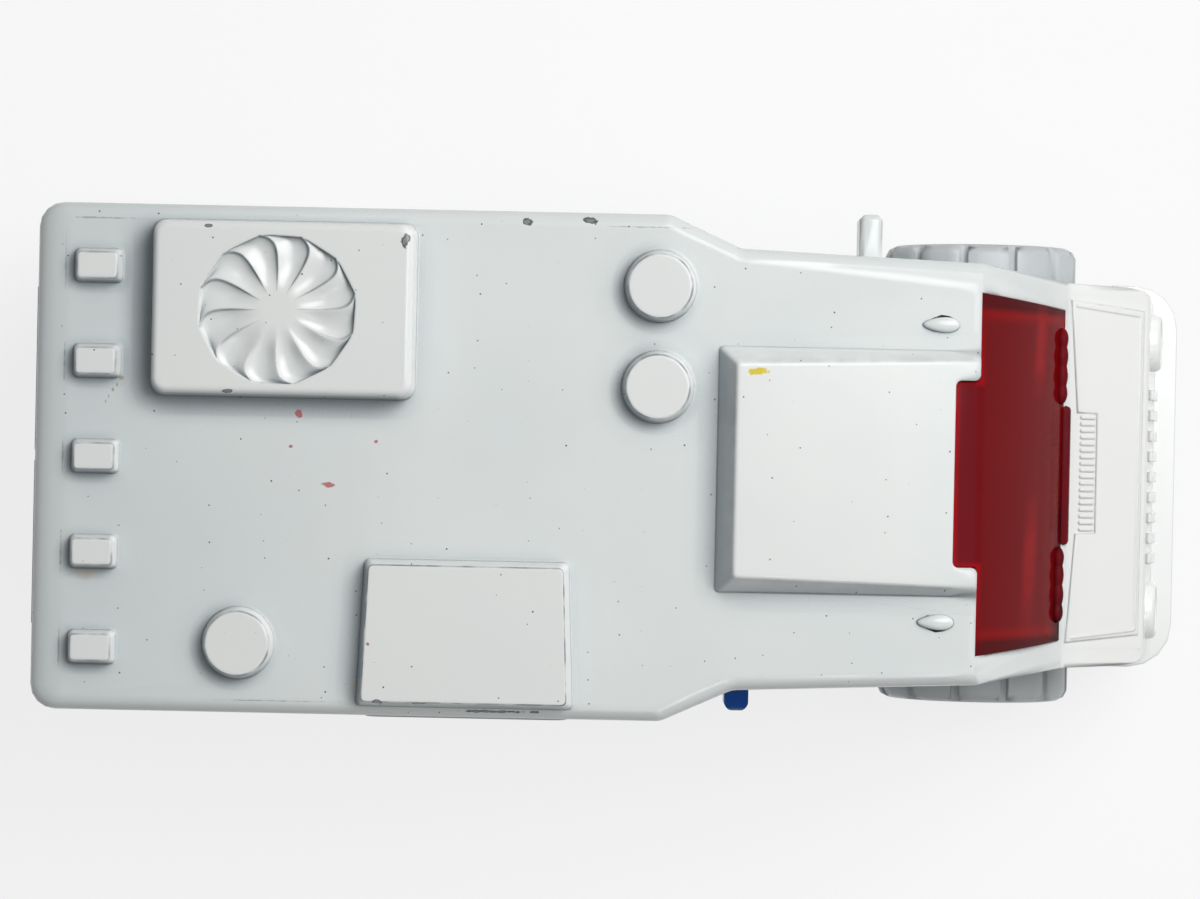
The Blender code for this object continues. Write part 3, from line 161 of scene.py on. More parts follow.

# Painted light and shade: the roof is painted slightly greyer to the rear, and the raised tops and the
# nose are painted the whitest, where the light falls strongest.
to_rear = add_node(tree, "MapRange", {"Value": position.outputs["X"], 1: -12 * mm, 2: -36 * mm, 3: 0.0, 4: 0.3})
low_roof = add_node(tree, "Math", {0: position.outputs["Z"], 1: 34.3 * mm}, operation="LESS_THAN")
rear_painted_shade = add_node(tree, "Math", {0: to_rear.outputs[0], 1: low_roof.outputs[0]}, operation="MULTIPLY")
paint = add_node(tree, "Mix", {0: rear_painted_shade.outputs[0], 6: paint, 7: linear("#B4BFC3")}).outputs[2]
raised = add_node(tree, "MapRange", {"Value": position.outputs["Z"], 1: 34.7 * mm, 2: 35.0 * mm, 3: 0.0, 4: 0.55})
paint = add_node(tree, "Mix", {0: raised.outputs[0], 6: paint, 7: linear("#F0F1EE")}).outputs[2]
to_front = add_node(tree, "MapRange", {"Value": position.outputs["X"], 1: 28 * mm, 2: 31 * mm, 3: 0.0, 4: 0.85})
paint = add_node(tree, "Mix", {0: to_front.outputs[0], 6: paint, 7: linear("#F8F9F7")}).outputs[2]

# Painted shade: corners and feet are painted grey, and more so on the sides that face the rear and the
# right, away from the lamp.
crevice_shade_depth = add_node(tree, "MapRange", {"Value": facing.outputs["Value"], 1: -0.5, 2: 0.5, 3: 0.1, 4: 0.8})
crevice_shade_limit = add_node(tree, "MapRange", {"Value": on_roof.outputs[0], 3: 0.3, 4: 1.0})
crevice_shade_depth = add_node(tree, "Math", {0: crevice_shade_depth.outputs[0], 1: crevice_shade_limit.outputs[0]},
                         operation="MULTIPLY")
crevice_shade_mask = add_node(tree, "MapRange", {
    "Value": crevice_shade.outputs["AO"], 1: 0.97, 2: 0.4, 3: 0.0, 4: crevice_shade_depth.outputs[0]})
paint = add_node(tree, "Mix", {0: crevice_shade_mask.outputs[0], 6: paint, 7: linear("#80929B")}).outputs[2]

# Painted shadow: on the roof itself, the strip behind and to the right of each raised piece is painted
# greyer than the rest, where the piece would shade it.
open_side = add_node(tree, "VectorMath", {0: rounding.outputs[0], 1: lean_front_left}, operation="ADD")
open_side = add_node(tree, "VectorMath", {0: open_side.outputs[0]}, operation="NORMALIZE")
shelter_shadow = add_node(tree, "AmbientOcclusion", {"Distance": shade_reach, "Normal": open_side.outputs[0]}, samples=8)
shelter_shadow_depth = add_node(tree, "MapRange", {
    "Value": facing.outputs["Value"], 1: -0.3, 2: -0.02, 3: 0.0, 4: 1.0})
shelter_shadow_depth = add_node(tree, "Math", {0: shelter_shadow_depth.outputs[0], 1: on_relief.outputs[0]},
                         operation="MULTIPLY")
shelter_shadow_mask = add_node(tree, "MapRange", {
    "Value": shelter_shadow.outputs["AO"], 1: 0.78, 2: 0.22, 3: 0.0, 4: shelter_shadow_depth.outputs[0]})
paint = add_node(tree, "Mix", {0: shelter_shadow_mask.outputs[0], 6: paint, 7: linear("#5A6972")}).outputs[2]

# Painted shade and light: the walls that face the rear and the right are painted grey all over, and
# those that face away from them, towards the lamp, are painted bright white.
lee_painted_shade = add_node(tree, "MapRange", {"Value": facing.outputs["Value"], 1: 0.25, 2: 0.9, 3: 0.0, 4: 0.66})
lee_painted_shade = add_node(tree, "Math", {0: lee_painted_shade.outputs[0], 1: on_relief.outputs[0]}, operation="MULTIPLY")
paint = add_node(tree, "Mix", {0: lee_painted_shade.outputs[0], 6: paint, 7: linear("#7C8B95")}).outputs[2]
windward_painted_light = add_node(tree, "MapRange", {"Value": facing.outputs["Value"], 1: -0.25, 2: -0.7, 3: 0.0, 4: 0.85})
windward_painted_light = add_node(tree, "Math", {0: windward_painted_light.outputs[0], 1: on_relief.outputs[0]}, operation="MULTIPLY")
paint = add_node(tree, "Mix", {0: windward_painted_light.outputs[0], 6: paint, 7: linear("#FCFDFC")}).outputs[2]

# Along the crisp top edges of the relief, a fine, broken grey line: partly the wet paint drawn back from
# the edges, partly painted shade on the walls just under them.
edge_wear_and_shade = add_node(tree, "Attribute", attribute_name="edge_wear_and_shade")
drawn_back_and_shade = add_node(tree, "TexNoise", {"Vector": place, "Scale": 1 / (1.3 * mm), "Detail": 2.0})
drawn_back_and_shade = add_node(tree, "MapRange", {"Value": drawn_back_and_shade.outputs[0], 1: 0.35, 2: 0.6, 3: 0.25, 4: 0.85})
drawn_back_and_shade = add_node(tree, "Math", {0: drawn_back_and_shade.outputs[0], 1: edge_wear_and_shade.outputs["Fac"]}, operation="MULTIPLY")
paint = add_node(tree, "Mix", {0: drawn_back_and_shade.outputs[0], 6: paint, 7: linear("#5E6C74")}).outputs[2]

# Dust specks, a few of them red, in cells of about 2 mm.
speck_cells = add_node(tree, "TexVoronoi", {"Vector": place, "Scale": 1 / (1.9 * mm)}, voronoi_dimensions="2D")
speck_pick = add_node(tree, "SeparateColor", {0: speck_cells.outputs["Color"]})
speck_size = add_node(tree, "MapRange", {"Value": speck_pick.outputs[0], 1: 0.45, 2: 1.0, 3: 0.0, 4: 0.032})
speck = add_node(tree, "Math", {0: speck_cells.outputs["Distance"], 1: speck_size.outputs[0]},
                 operation="LESS_THAN")
speck = add_node(tree, "Math", {0: speck.outputs[0], 1: on_roof.outputs[0]}, operation="MULTIPLY")
speck_red = add_node(tree, "Math", {0: speck_pick.outputs[1], 1: 0.9}, operation="GREATER_THAN")
speck_colour = add_node(tree, "Mix", {0: speck_red.outputs[0], 6: linear("#5C5C5A"), 7: linear("#B05A52")})
paint = add_node(tree, "Mix", {0: speck.outputs[0], 6: paint, 7: speck_colour.outputs[2]}).outputs[2]

# Marks of use, each at its place on the roof: centre and half size along and across the truck, in mm.
# The crease marks are not wear but painted shade, grey lines in the creases where the roof turns down
# into its rounded edges.
chip_marks = [(-2.6, 15.85, 0.5, 0.22), (-6.6, 15.7, 0.4, 0.2), (-14.35, 14.2, 0.3, 0.42),
              (-15.6, -15.4, 0.32, 0.16), (-12.9, -15.45, 0.5, 0.07), (-8.2, -15.95, 1.9, 0.09),
              (-5.6, -15.92, 0.35, 0.1), (-25.6, 4.35, 0.5, 0.12), (-27.0, 14.9, 0.3, 0.1)]
red_marks = [(-21.1, 3.0, 0.22, 0.22), (-21.6, 0.9, 0.13, 0.1), (-16.1, 1.3, 0.12, 0.1),
             (-16.3, -11.7, 0.12, 0.12), (-19.1, -1.55, 0.5, 0.22)]
yellow_marks = [(8.35, 6.35, 0.62, 0.26)]
scratch_marks = [(-32.6, 5.1, 0.17, 0.15), (-32.88, 4.65, 0.13, 0.16), (-33.15, 4.27, 0.1, 0.16),
                 (-33.4, 3.87, 0.08, 0.16), (-33.6, 3.55, 0.06, 0.14)]
stain_marks = [(-34.73, -7.55, 1.0, 0.42), (-17.2, -14.6, 0.2, 0.5)]
# Crease marks: painted shade in the creases at the start of the roof's rounded edges.
crease_shade_marks = [(-34.1, 15.38, 2.5, 0.06), (0.95, 15.5, 3.0, 0.06), (-36.35, 12.5, 0.06, 2.0),
                (-14.0, -15.5, 3.0, 0.05), (-22.5, -15.55, 4.0, 0.05)]
crease_shade_marks += [(-36.3, y, 0.07, 1.4) for y in (6.15, 0.0, -6.15, -12.3)]
ragged = add_node(tree, "TexNoise", {"Vector": place, "Scale": 1 / (0.45 * mm), "Detail": 3.0})
ragged_edge = add_node(tree, "MapRange", {"Value": ragged.outputs[0], 1: 0.3, 2: 0.7, 3: -0.45, 4: 0.45})
for marks, colour, strength, full in (
        (chip_marks, "#26282A", 0.92, 0.75), (red_marks, "#B0343A", 0.8, 0.75),
        (yellow_marks, "#DCC608", 1.0, 0.7), (scratch_marks, "#8F7450", 0.6, 0.5),
        (stain_marks, "#B39A6C", 0.4, 0.1), (crease_shade_marks, "#6E7B7E", 0.55, 0.3)):
    for x, y, half_x, half_y in marks:
        offset = add_node(tree, "VectorMath", {0: place, 1: (x * mm, y * mm, 0)}, operation="SUBTRACT")
        scaled = add_node(tree, "VectorMath", {
            0: offset.outputs[0], 1: (1 / (half_x * mm), 1 / (half_y * mm), 0)}, operation="MULTIPLY")
        reach = add_node(tree, "VectorMath", {0: scaled.outputs[0]}, operation="LENGTH")
        worn = add_node(tree, "Math", {0: reach.outputs["Value"], 1: ragged_edge.outputs[0]}, operation="ADD")
        mask = add_node(tree, "MapRange", {"Value": worn.outputs[0], 1: 1.0, 2: full, 3: 0.0, 4: strength})
        mask = add_node(tree, "Math", {0: mask.outputs[0], 1: on_roof.outputs[0]}, operation="MULTIPLY")
        paint = add_node(tree, "Mix", {0: mask.outputs[0], 6: paint, 7: linear(colour)}).outputs[2]
        if marks is chip_marks:
            bare = add_node(tree, "MapRange", {"Value": worn.outputs[0], 1: 0.62, 2: 0.42, 3: 0.0, 4: 0.8})
            bare = add_node(tree, "Math", {0: bare.outputs[0], 1: on_roof.outputs[0]}, operation="MULTIPLY")
            paint = add_node(tree, "Mix", {0: bare.outputs[0], 6: paint, 7: linear("#8F9396")}).outputs[2]

# A plain violet band and a thin line under it, printed along both sides below the roof.
sideways = add_node(tree, "SeparateXYZ", {0: rounding.outputs[0]})
sideways = add_node(tree, "Math", {0: sideways.outputs["Y"]}, operation="ABSOLUTE")
sideways = add_node(tree, "Math", {0: sideways.outputs[0], 1: 0.8}, operation="GREATER_THAN")
for middle_z, half_height in ((32.0, 0.62), (30.85, 0.16)):
    off = add_node(tree, "Math", {0: position.outputs["Z"], 1: middle_z * mm}, operation="SUBTRACT")
    off = add_node(tree, "Math", {0: off.outputs[0]}, operation="ABSOLUTE")
    printed = add_node(tree, "Math", {0: off.outputs[0], 1: half_height * mm}, operation="LESS_THAN")
    printed = add_node(tree, "Math", {0: printed.outputs[0], 1: sideways.outputs[0]}, operation="MULTIPLY")
    paint = add_node(tree, "Mix", {0: printed.outputs[0], 6: paint, 7: linear("#4B3F86")}).outputs[2]

peel = add_node(tree, "TexNoise", {"Vector": place, "Scale": 1 / (0.9 * mm), "Detail": 1.0})
peel_bump = add_node(tree, "Bump", {
    "Height": peel.outputs[0], "Strength": 0.06, "Distance": 0.05 * mm, "Normal": rounding.outputs[0]})
gloss = add_node(tree, "MapRange", {"Value": cloud.outputs[0], 1: 0.3, 2: 0.7, 3: 0.16, 4: 0.26})
tree.links.new(paint, shader.inputs["Base Color"])
tree.links.new(gloss.outputs[0], shader.inputs["Roughness"])
tree.links.new(peel_bump.outputs[0], shader.inputs["Normal"])
shader.inputs["IOR"].default_value = 1.5

# The roof relief and the hood's lines come off this copy: the sections below make them finer.
plate_rear, plate_front, plate_half = 30.1 * mm, 35.4 * mm, 11.5 * mm
comb_rear, comb_front, comb_half = 30.9 * mm, 32.6 * mm, 4.05 * mm
mirror_rear, mirror_front, mirror_inside, mirror_foot = 14.9 * mm, 16.8 * mm, 16.5 * mm, 25 * mm
notch_fillet, mirror_round = 0.35 * mm, 0.19 * mm
bm = welded_copy("body_casting")
relief_faces = []
for face in bm.faces:
    middle = face.calc_center_median()
    above_hood = middle.z - cowl_z - hood_fall * (middle.x - cowl_x)
    on_plate = (plate_rear < middle.x < plate_front and abs(middle.y) < plate_half
                and 0.02 * mm < above_hood < 0.5 * mm)
    in_comb = comb_rear < middle.x < comb_front and abs(middle.y) < comb_half and abs(above_hood) < 0.5 * mm
    if middle.z > roof_z + 0.01 * mm or on_plate or in_comb:
        relief_faces.append(face)
bmesh.ops.delete(bm, geom=relief_faces, context="FACES")
bmesh.ops.dissolve_limit(bm, angle_limit=math.radians(0.6), verts=bm.verts, edges=bm.edges)
notch_edges = [e for e in bm.edges if abs(e.verts[0].co.z - e.verts[1].co.z) > 0.2 * mm and all(
    abs(abs(v.co.y) - notch_half) < 0.02 * mm and v.co.z > 31 * mm
    and min(abs(v.co.x - notch_x), abs(v.co.x - roof_front)) < 0.02 * mm for v in e.verts)]
soften(bm, notch_edges, notch_fillet, 5)
mirror_edges = [e for e in bm.edges if all(
    mirror_rear < v.co.x < mirror_front and v.co.y > mirror_inside and v.co.z > mirror_foot for v in e.verts)]
soften(bm, mirror_edges, mirror_round, 4)
finish_piece(bm, "cast_body", enamel, "truck", "body_casting")

# Roof cooler: a flat cooling unit cast in one with the roof, with drafted walls and a fan of twelve
# blades sunk in its top. Each blade steps down from flush, runs through a trough and rises again, and a
# grey line of painted shade runs along each step, darker towards the truck's left side.

foot_lift, rim_sunk, foot_margin = 0.012 * mm, 0.035 * mm, 1.2 * mm
relief_z = roof_z + foot_lift
cooler_size = Vector((17.1, 11.4, 2.18)) * mm
cooler_place = Vector((-22.2 * mm, 9.7 * mm, relief_z))
cooler_corner, cooler_draft = 0.85 * mm, (0.25 * mm, 0.22 * mm)
cooler_round, cooler_cove = 0.42 * mm, 1.0 * mm
fan_radius = 5.05 * mm
fan_blades = 12
fan_depth = 0.38 * mm
fan_step, fan_floor = 0.08, 0.4
fan_hub, fan_turn, fan_bow, fan_sweep, fan_scallop = 0.08, 0.09, 0.1, 0.32, 0.028
step_share, fade_start, fade_length = 0.6, 0.22, 0.45
fan_squeeze, rim_spread = 0.955, 1.012
fan_offset = Vector((-0.3, -0.08, 0)) * mm


def raise_casting(bm, face, margin, height, draft, top_round, foot_cove, line=0.0):
    """Lifts a flat face off the roof with drafted walls, a rounded top edge and a cove at its foot."""
    rim = list(face.verts)
    bmesh.ops.inset_region(bm, faces=[face], thickness=margin, use_boundary=True, use_even_offset=True)
    middle = face.calc_center_bounds()
    reach = [max(abs(v.co[axis] - middle[axis]) for v in face.verts) for axis in (0, 1)]
    lifted = bmesh.ops.extrude_face_region(bm, geom=[face])["geom"]
    top = next(part for part in lifted if isinstance(part, bmesh.types.BMFace))
    bmesh.ops.translate(bm, verts=top.verts, vec=(0, 0, height))
    bmesh.ops.scale(bm, verts=top.verts, vec=(1 - draft[0] / reach[0], 1 - draft[1] / reach[1], 1),
                    space=Matrix.Translation(-middle))
    walls = {f for e in top.edges for f in e.link_faces if f is not top}
    foot = [e for f in walls for e in f.edges if max(v.co.z for v in e.verts) < 0.001 * mm]
    soften(bm, foot, foot_cove, 8)
    soften(bm, list(top.edges), top_round, 6)
    bmesh.ops.translate(bm, verts=rim, vec=(0, 0, -rim_sunk))
    # Where the fine grey edge line goes: partly paint drawn back, partly painted shade.
    edge_wear_and_shade = bm.verts.layers.float.new("edge_wear_and_shade")
    for vert in bm.verts:
        vert[edge_wear_and_shade] = line if 0.08 < (height - vert.co.z) / top_round < 0.6 else 0.0
    return max(bm.faces, key=lambda f: (round(f.calc_center_median().z, 7), f.calc_area()))


def settle_on_roof(bm):
    """Lets the low parts of a casting follow the rounded edge of the roof."""
    flat_half, edge_radius, furthest, follow = 15.4 * mm, 1.0 * mm, 15.9 * mm, 0.8 * mm
    for vert in bm.verts:
        vert.co.y = min(furthest, max(-furthest, vert.co.y))
        over = min(edge_radius, max(0, abs(vert.co.y) - flat_half))
        low = max(0, 1 - (vert.co.z - relief_z) / follow)
        vert.co.z -= low * (edge_radius - math.sqrt(edge_radius ** 2 - over ** 2))


def rounded_plate(bm, size_x, size_y, corner, margin):
    """A flat plate with rounded corners and a margin round it, centred on the origin."""
    made = bmesh.ops.create_grid(bm, x_segments=1, y_segments=1, size=0.5)["verts"]
    bmesh.ops.scale(bm, verts=made, vec=(size_x + 2 * margin, size_y + 2 * margin, 1))
    bmesh.ops.bevel(bm, geom=made, offset=corner + margin, offset_type="OFFSET", affect="VERTICES", segments=6,
                    profile=0.5, material=-1)
    return max(bm.faces, key=lambda f: f.calc_area())


bm = bmesh.new()
plate = rounded_plate(bm, cooler_size.x, cooler_size.y, cooler_corner, foot_margin)
top = raise_casting(bm, plate, foot_margin, cooler_size.z, cooler_draft, cooler_round, cooler_cove)
bmesh.ops.delete(bm, geom=[top], context="FACES_ONLY")

# One blade is a grid bent to its sector, and is then spun round the fan's middle.
edge_wear_and_shade = bm.verts.layers.float["edge_wear_and_shade"]
blade = bmesh.ops.create_grid(bm, x_segments=28, y_segments=26, size=0.5)["verts"]
for vert in blade:
    turn_share, out_share = vert.co.x + 0.5, 1 - (1 - fan_hub) * (0.5 - vert.co.y) ** 1.5
    if turn_share < fan_step:
        sunk = step_share * turn_share / fan_step
    elif turn_share < fan_floor:
        eased = math.sin(math.pi / 2 * (turn_share - fan_step) / (fan_floor - fan_step))
        sunk = step_share + (1 - step_share) * eased
    else:
        sunk = math.cos(math.pi / 2 * (turn_share - fan_floor) / (1 - fan_floor))
    deep = min(1, max(0, (out_share - fade_start) / fade_length))
    vert[edge_wear_and_shade] = 1.0 if 0.01 < turn_share < fan_step and out_share > 0.25 else 0.0
    swing = fan_turn - fan_bow * math.sin(math.pi * out_share) + fan_sweep * out_share ** 14
    angle = (turn_share + swing) * 2 * math.pi / fan_blades
    radius = fan_radius * out_share * (1 - fan_scallop * out_share ** 4 * math.sin(math.pi * turn_share))
    vert.co = (radius * math.cos(angle), radius * math.sin(angle),
               cooler_size.z - fan_depth * sunk * deep * deep * (3 - 2 * deep))
bmesh.ops.spin(bm, geom=parts_of(blade), cent=(0, 0, 0), axis=(0, 0, 1), steps=fan_blades - 1, use_duplicate=True,
               angle=2 * math.pi * (fan_blades - 1) / fan_blades)
bmesh.ops.remove_doubles(bm, verts=bm.verts, dist=weld_distance)
fan_verts = [v for v in bm.verts if v.co.z > cooler_size.z / 2 and v.co.to_2d().length < fan_radius * 1.04]
rims = [e for e in bm.edges if e.is_boundary and e.verts[0].co.z > cooler_size.z / 2]
hub_rim = [e for e in rims if e.verts[0].co.to_2d().length < fan_radius * 0.2]
fan_rim = [e for e in rims if fan_radius * 0.9 < e.verts[0].co.to_2d().length < fan_radius * 1.03]
bmesh.ops.scale(bm, verts=fan_verts, vec=(1, fan_squeeze, 1))
# The painted shade on the steps is made darker on the fan's left half and lighter on its right half.
for vert in fan_verts:
    vert[edge_wear_and_shade] *= 0.5 + 0.4 * vert.co.y / max(fan_radius * 0.2, vert.co.to_2d().length)
bmesh.ops.translate(bm, verts=fan_verts, vec=fan_offset)
bmesh.ops.holes_fill(bm, edges=hub_rim)
wall = bmesh.ops.extrude_edge_only(bm, edges=fan_rim)["geom"]
for vert in verts_of(wall):
    vert.co = (vert.co.x * rim_spread, vert.co.y * rim_spread, cooler_size.z)
brim = bmesh.ops.extrude_edge_only(bm, edges=[e for e in wall if isinstance(e, bmesh.types.BMEdge)
                                              and e.is_boundary])["geom"]
for vert in verts_of(brim):
    vert.co = (vert.co.x * rim_spread, vert.co.y * rim_spread, cooler_size.z)
    vert[edge_wear_and_shade] = 0.0
bmesh.ops.triangle_fill(bm, edges=[e for e in bm.edges if e.is_boundary and all(
    v.co.z > cooler_size.z - 0.001 * mm for v in e.verts)], use_beauty=True)
bmesh.ops.recalc_face_normals(bm, faces=bm.faces)
bmesh.ops.translate(bm, verts=bm.verts, vec=cooler_place)
settle_on_roof(bm)
finish_piece(bm, "roof_cooler", enamel, "truck")

# Serving hatch: a shallow lid over the serving window, a little wider at the roof's edge. It is cast in
# one with the roof, under the same white enamel.

hatch_size = Vector((13.2, 9.5, 1.3)) * mm
hatch_flare = 0.4 * mm
hatch_place = Vector((-10.1 * mm, -11.0 * mm, relief_z))
hatch_corner, hatch_draft = 0.35 * mm, (0.32 * mm, 0.32 * mm)
hatch_round, hatch_cove, hatch_line = 0.13 * mm, 0.8 * mm, 1.0
bm = bmesh.new()
plate = rounded_plate(bm, hatch_size.x, hatch_size.y, hatch_corner, foot_margin)
raise_casting(bm, plate, foot_margin, hatch_size.z, hatch_draft, hatch_round, hatch_cove, hatch_line)
for vert in bm.verts:
    vert.co.x *= 1 + 2 * hatch_flare / hatch_size.x * (0.5 - vert.co.y / hatch_size.y)
bmesh.ops.translate(bm, verts=bm.verts, vec=hatch_place)
settle_on_roof(bm)
finish_piece(bm, "serving_hatch", enamel, "truck")

# Marker lamps: five small blocks in a row along the roof's rear edge. They are cast in one with the roof
# and painted over with it.

marker_size = Vector((3.1, 2.2, 1.0)) * mm
marker_count, marker_pitch, marker_x = 5, 6.15 * mm, -34.2 * mm
marker_margin, marker_corner, marker_draft = 0.62 * mm, 0.35 * mm, (0.2 * mm, 0.2 * mm)
marker_round, marker_cove, marker_line = 0.2 * mm, 0.52 * mm, 0.7
bm = bmesh.new()
plate = rounded_plate(bm, marker_size.x, marker_size.y, marker_corner, marker_margin)
raise_casting(bm, plate, marker_margin, marker_size.z, marker_draft, marker_round, marker_cove, marker_line)
one_marker = everything(bm)
bmesh.ops.translate(bm, verts=bm.verts, vec=(marker_x, -(marker_count - 1) / 2 * marker_pitch, relief_z))
for step in range(1, marker_count):
    row = bmesh.ops.duplicate(bm, geom=one_marker)["geom"]
    bmesh.ops.translate(bm, verts=verts_of(row), vec=(0, step * marker_pitch, 0))
finish_piece(bm, "marker_lamps", enamel, "truck")

# Roof vents: three low round caps with flat tops, two behind the cab and one at the rear. They are cast in
# one with the roof and painted over with it.

vent_places = [(2.02, 11.7), (1.98, 5.2), (-24.75, -11.85)]
vent_radius, vent_height, vent_margin, vent_draft = 2.35 * mm, 1.15 * mm, 0.7 * mm, (0.22 * mm, 0.22 * mm)
vent_round, vent_cove, vent_line = 0.2 * mm, 0.58 * mm, 0.85
bm = bmesh.new()
for x, y in vent_places:
    vent = bmesh.new()
    bmesh.ops.create_circle(vent, cap_ends=True, radius=vent_radius + vent_margin, segments=56)
    vent.faces.ensure_lookup_table()
    raise_casting(vent, vent.faces[0], vent_margin, vent_height, vent_draft, vent_round, vent_cove, vent_line)
    bmesh.ops.translate(vent, verts=vent.verts, vec=(x * mm, y * mm, relief_z))
    vent_mesh = bpy.data.meshes.new("vent")
    vent.to_mesh(vent_mesh)
    vent.free()
    bm.from_mesh(vent_mesh)
    bpy.data.meshes.remove(vent_mesh)
finish_piece(bm, "roof_vents", enamel, "truck")

# Cab panel: a wedge raised from the cab roof, high at the rear and fading out at the windscreen. It is
# cast in one with the roof, and the windscreen's upper edge is let into it with a square notch.

panel_rear, panel_half = 5.9 * mm, 7.95 * mm
panel_high, panel_low, panel_level = 1.9 * mm, 0.35 * mm, 1.1 * mm
panel_corner, panel_draft, panel_widening = 0.25 * mm, (1.15 * mm, 1.1 * mm), 0.08
panel_round, panel_cove, panel_line = 0.36 * mm, 0.9 * mm, 0.2
panel_overrun, lip_depth, notch_round = 4 * mm, 1.2 * mm, 0.38 * mm
opening_gap = 0.03 * mm
bm = bmesh.new()
length = roof_front - panel_rear + panel_overrun
plate = rounded_plate(bm, length, 2 * panel_half, panel_corner, foot_margin)
raise_casting(bm, plate, foot_margin, panel_high, panel_draft, panel_round, panel_cove, panel_line)
bmesh.ops.translate(bm, verts=bm.verts, vec=(panel_rear + length / 2, 0, 0))
for vert in bm.verts:
    along = min(1, max(0, (vert.co.x - panel_rear - panel_level) / (roof_front - panel_rear - panel_level)))
    vert.co.y *= 1 + panel_widening * along * max(0, vert.co.z) / panel_high
    vert.co.z *= 1 + (panel_low / panel_high - 1) * along
front_x, cut_x, cut_half = roof_front - opening_gap, notch_x - opening_gap, notch_half + opening_gap
bmesh.ops.bisect_plane(bm, geom=everything(bm), plane_co=(front_x, 0, 0), plane_no=(1, 0, 0), clear_outer=True)
for point, normal in (((cut_x, 0, 0), (1, 0, 0)), ((0, cut_half, 0), (0, 1, 0)), ((0, -cut_half, 0), (0, -1, 0))):
    bmesh.ops.bisect_plane(bm, geom=everything(bm), plane_co=point, plane_no=normal)
notch = [f for f in bm.faces if f.calc_center_median().x > cut_x and abs(f.calc_center_median().y) < cut_half]
bmesh.ops.delete(bm, geom=notch, context="FACES")
lip = [e for e in bm.edges if e.is_boundary and min(v.co.x for v in e.verts) > cut_x - 0.01 * mm
       and max(abs(v.co.y) for v in e.verts) < panel_half + 0.3 * mm]
fall = bmesh.ops.extrude_edge_only(bm, edges=lip)["geom"]
bmesh.ops.translate(bm, verts=verts_of(fall), vec=(0, 0, -lip_depth))
notch_edges = [e for e in bm.edges if abs(e.verts[0].co.z - e.verts[1].co.z) > 0.5 * mm and all(
    abs(abs(v.co.y) - cut_half) < 0.005 * mm
    and min(abs(v.co.x - cut_x), abs(v.co.x - front_x)) < 0.005 * mm for v in e.verts)]
soften(bm, notch_edges, notch_round, 5)
bmesh.ops.translate(bm, verts=bm.verts, vec=(0, 0, relief_z))
finish_piece(bm, "cab_panel", enamel, "truck")

# Cab lamps: two drop-shaped lamps beside the panel, their points to the rear. They are cast in one with
# the roof, and a grey line of painted shade goes round their feet.

drop_half = (1.22 * mm, 0.62 * mm, 0.32 * mm)
drop_x, drop_y, drop_line, line_top = 20.2 * mm, 9.6 * mm, 0.7, 0.35
bm = bmesh.new()
edge_wear_and_shade = bm.verts.layers.float.new("edge_wear_and_shade")
for side in (1, -1):
    drop = bmesh.ops.create_icosphere(bm, subdivisions=5, radius=1.0)["verts"]
    for vert in drop:
        vert.co.y *= 0.8 + 0.2 * vert.co.x
        vert[edge_wear_and_shade] = drop_line if vert.co.z < line_top else 0.0
    bmesh.ops.scale(bm, verts=drop, vec=drop_half)
    bmesh.ops.translate(bm, verts=drop, vec=(drop_x, side * drop_y, relief_z))
finish_piece(bm, "cab_lamps", enamel, "truck")

# Hood: a raised plate with a fine double line round it and a comb of eighteen ribs in front of the
# windscreen, all cut in the die. The hood falls away to the front and is painted with the body.


def add_bar(bm, start, end, width, height, rounding):
    """A straight bar with softened edges between two points, its height measured square to the XY plane."""
    start, end = Vector(start), Vector(end)
    run = end - start
    turn = run.to_track_quat("X", "Z").to_matrix().to_4x4()
    made = bmesh.ops.create_cube(bm, size=1.0)["verts"]
    bmesh.ops.scale(bm, verts=made, vec=(run.length, width, height))
    shaped = soften(bm, list({e for v in made for e in v.link_edges}), rounding, 2, clamp=False)
    verts = list({v for f in shaped["faces"] for v in f.verts})
    bmesh.ops.transform(bm, matrix=Matrix.Translation((start + end) / 2) @ turn, verts=verts)


def hood_point(x, y, lift):
    """A point on the hood plate, lifted off it."""
    return (x * mm, y * mm, cowl_z + hood_fall * (x * mm - cowl_x) + lift)


hood_lift, plate_thick, plate_round, plate_line = 0.02 * mm, 0.16 * mm, 0.12 * mm, 0.28
rib_count, rib_pitch, rib_middle, rib_lift, rib_ends = 18, 0.445, 0.18, 0.04 * mm, (30.8, 31.85)
line_section, rib_section = (0.18 * mm, 0.13 * mm, 0.05 * mm), (0.27 * mm, 0.24 * mm, 0.1 * mm)
ground_plan = [(29.95, 12.3), (29.95, -11.7), (35.45, -11.7), (35.45, 12.0)]
plate_plan = [(30.0, 11.9), (30.55, 4.25), (31.95, 4.2), (31.95, -3.85), (30.55, -3.9), (30.0, -11.3),
              (35.25, -10.75), (35.25, 11.3)]
inner_line = [(30.35, 11.5), (34.95, 10.95), (34.95, -10.4), (30.35, -10.95)]
bm = bmesh.new()
edge_wear_and_shade = bm.verts.layers.float.new("edge_wear_and_shade")
for plan in (ground_plan, plate_plan):
    plate = bm.faces.new([bm.verts.new(hood_point(x, y, hood_lift)) for x, y in plan])
lifted = bmesh.ops.extrude_face_region(bm, geom=[plate])["geom"]
top = next(part for part in lifted if isinstance(part, bmesh.types.BMFace))
bmesh.ops.translate(bm, verts=top.verts, vec=(0, 0, plate_thick))
soften(bm, list(top.edges), plate_round, 4, clamp=False)
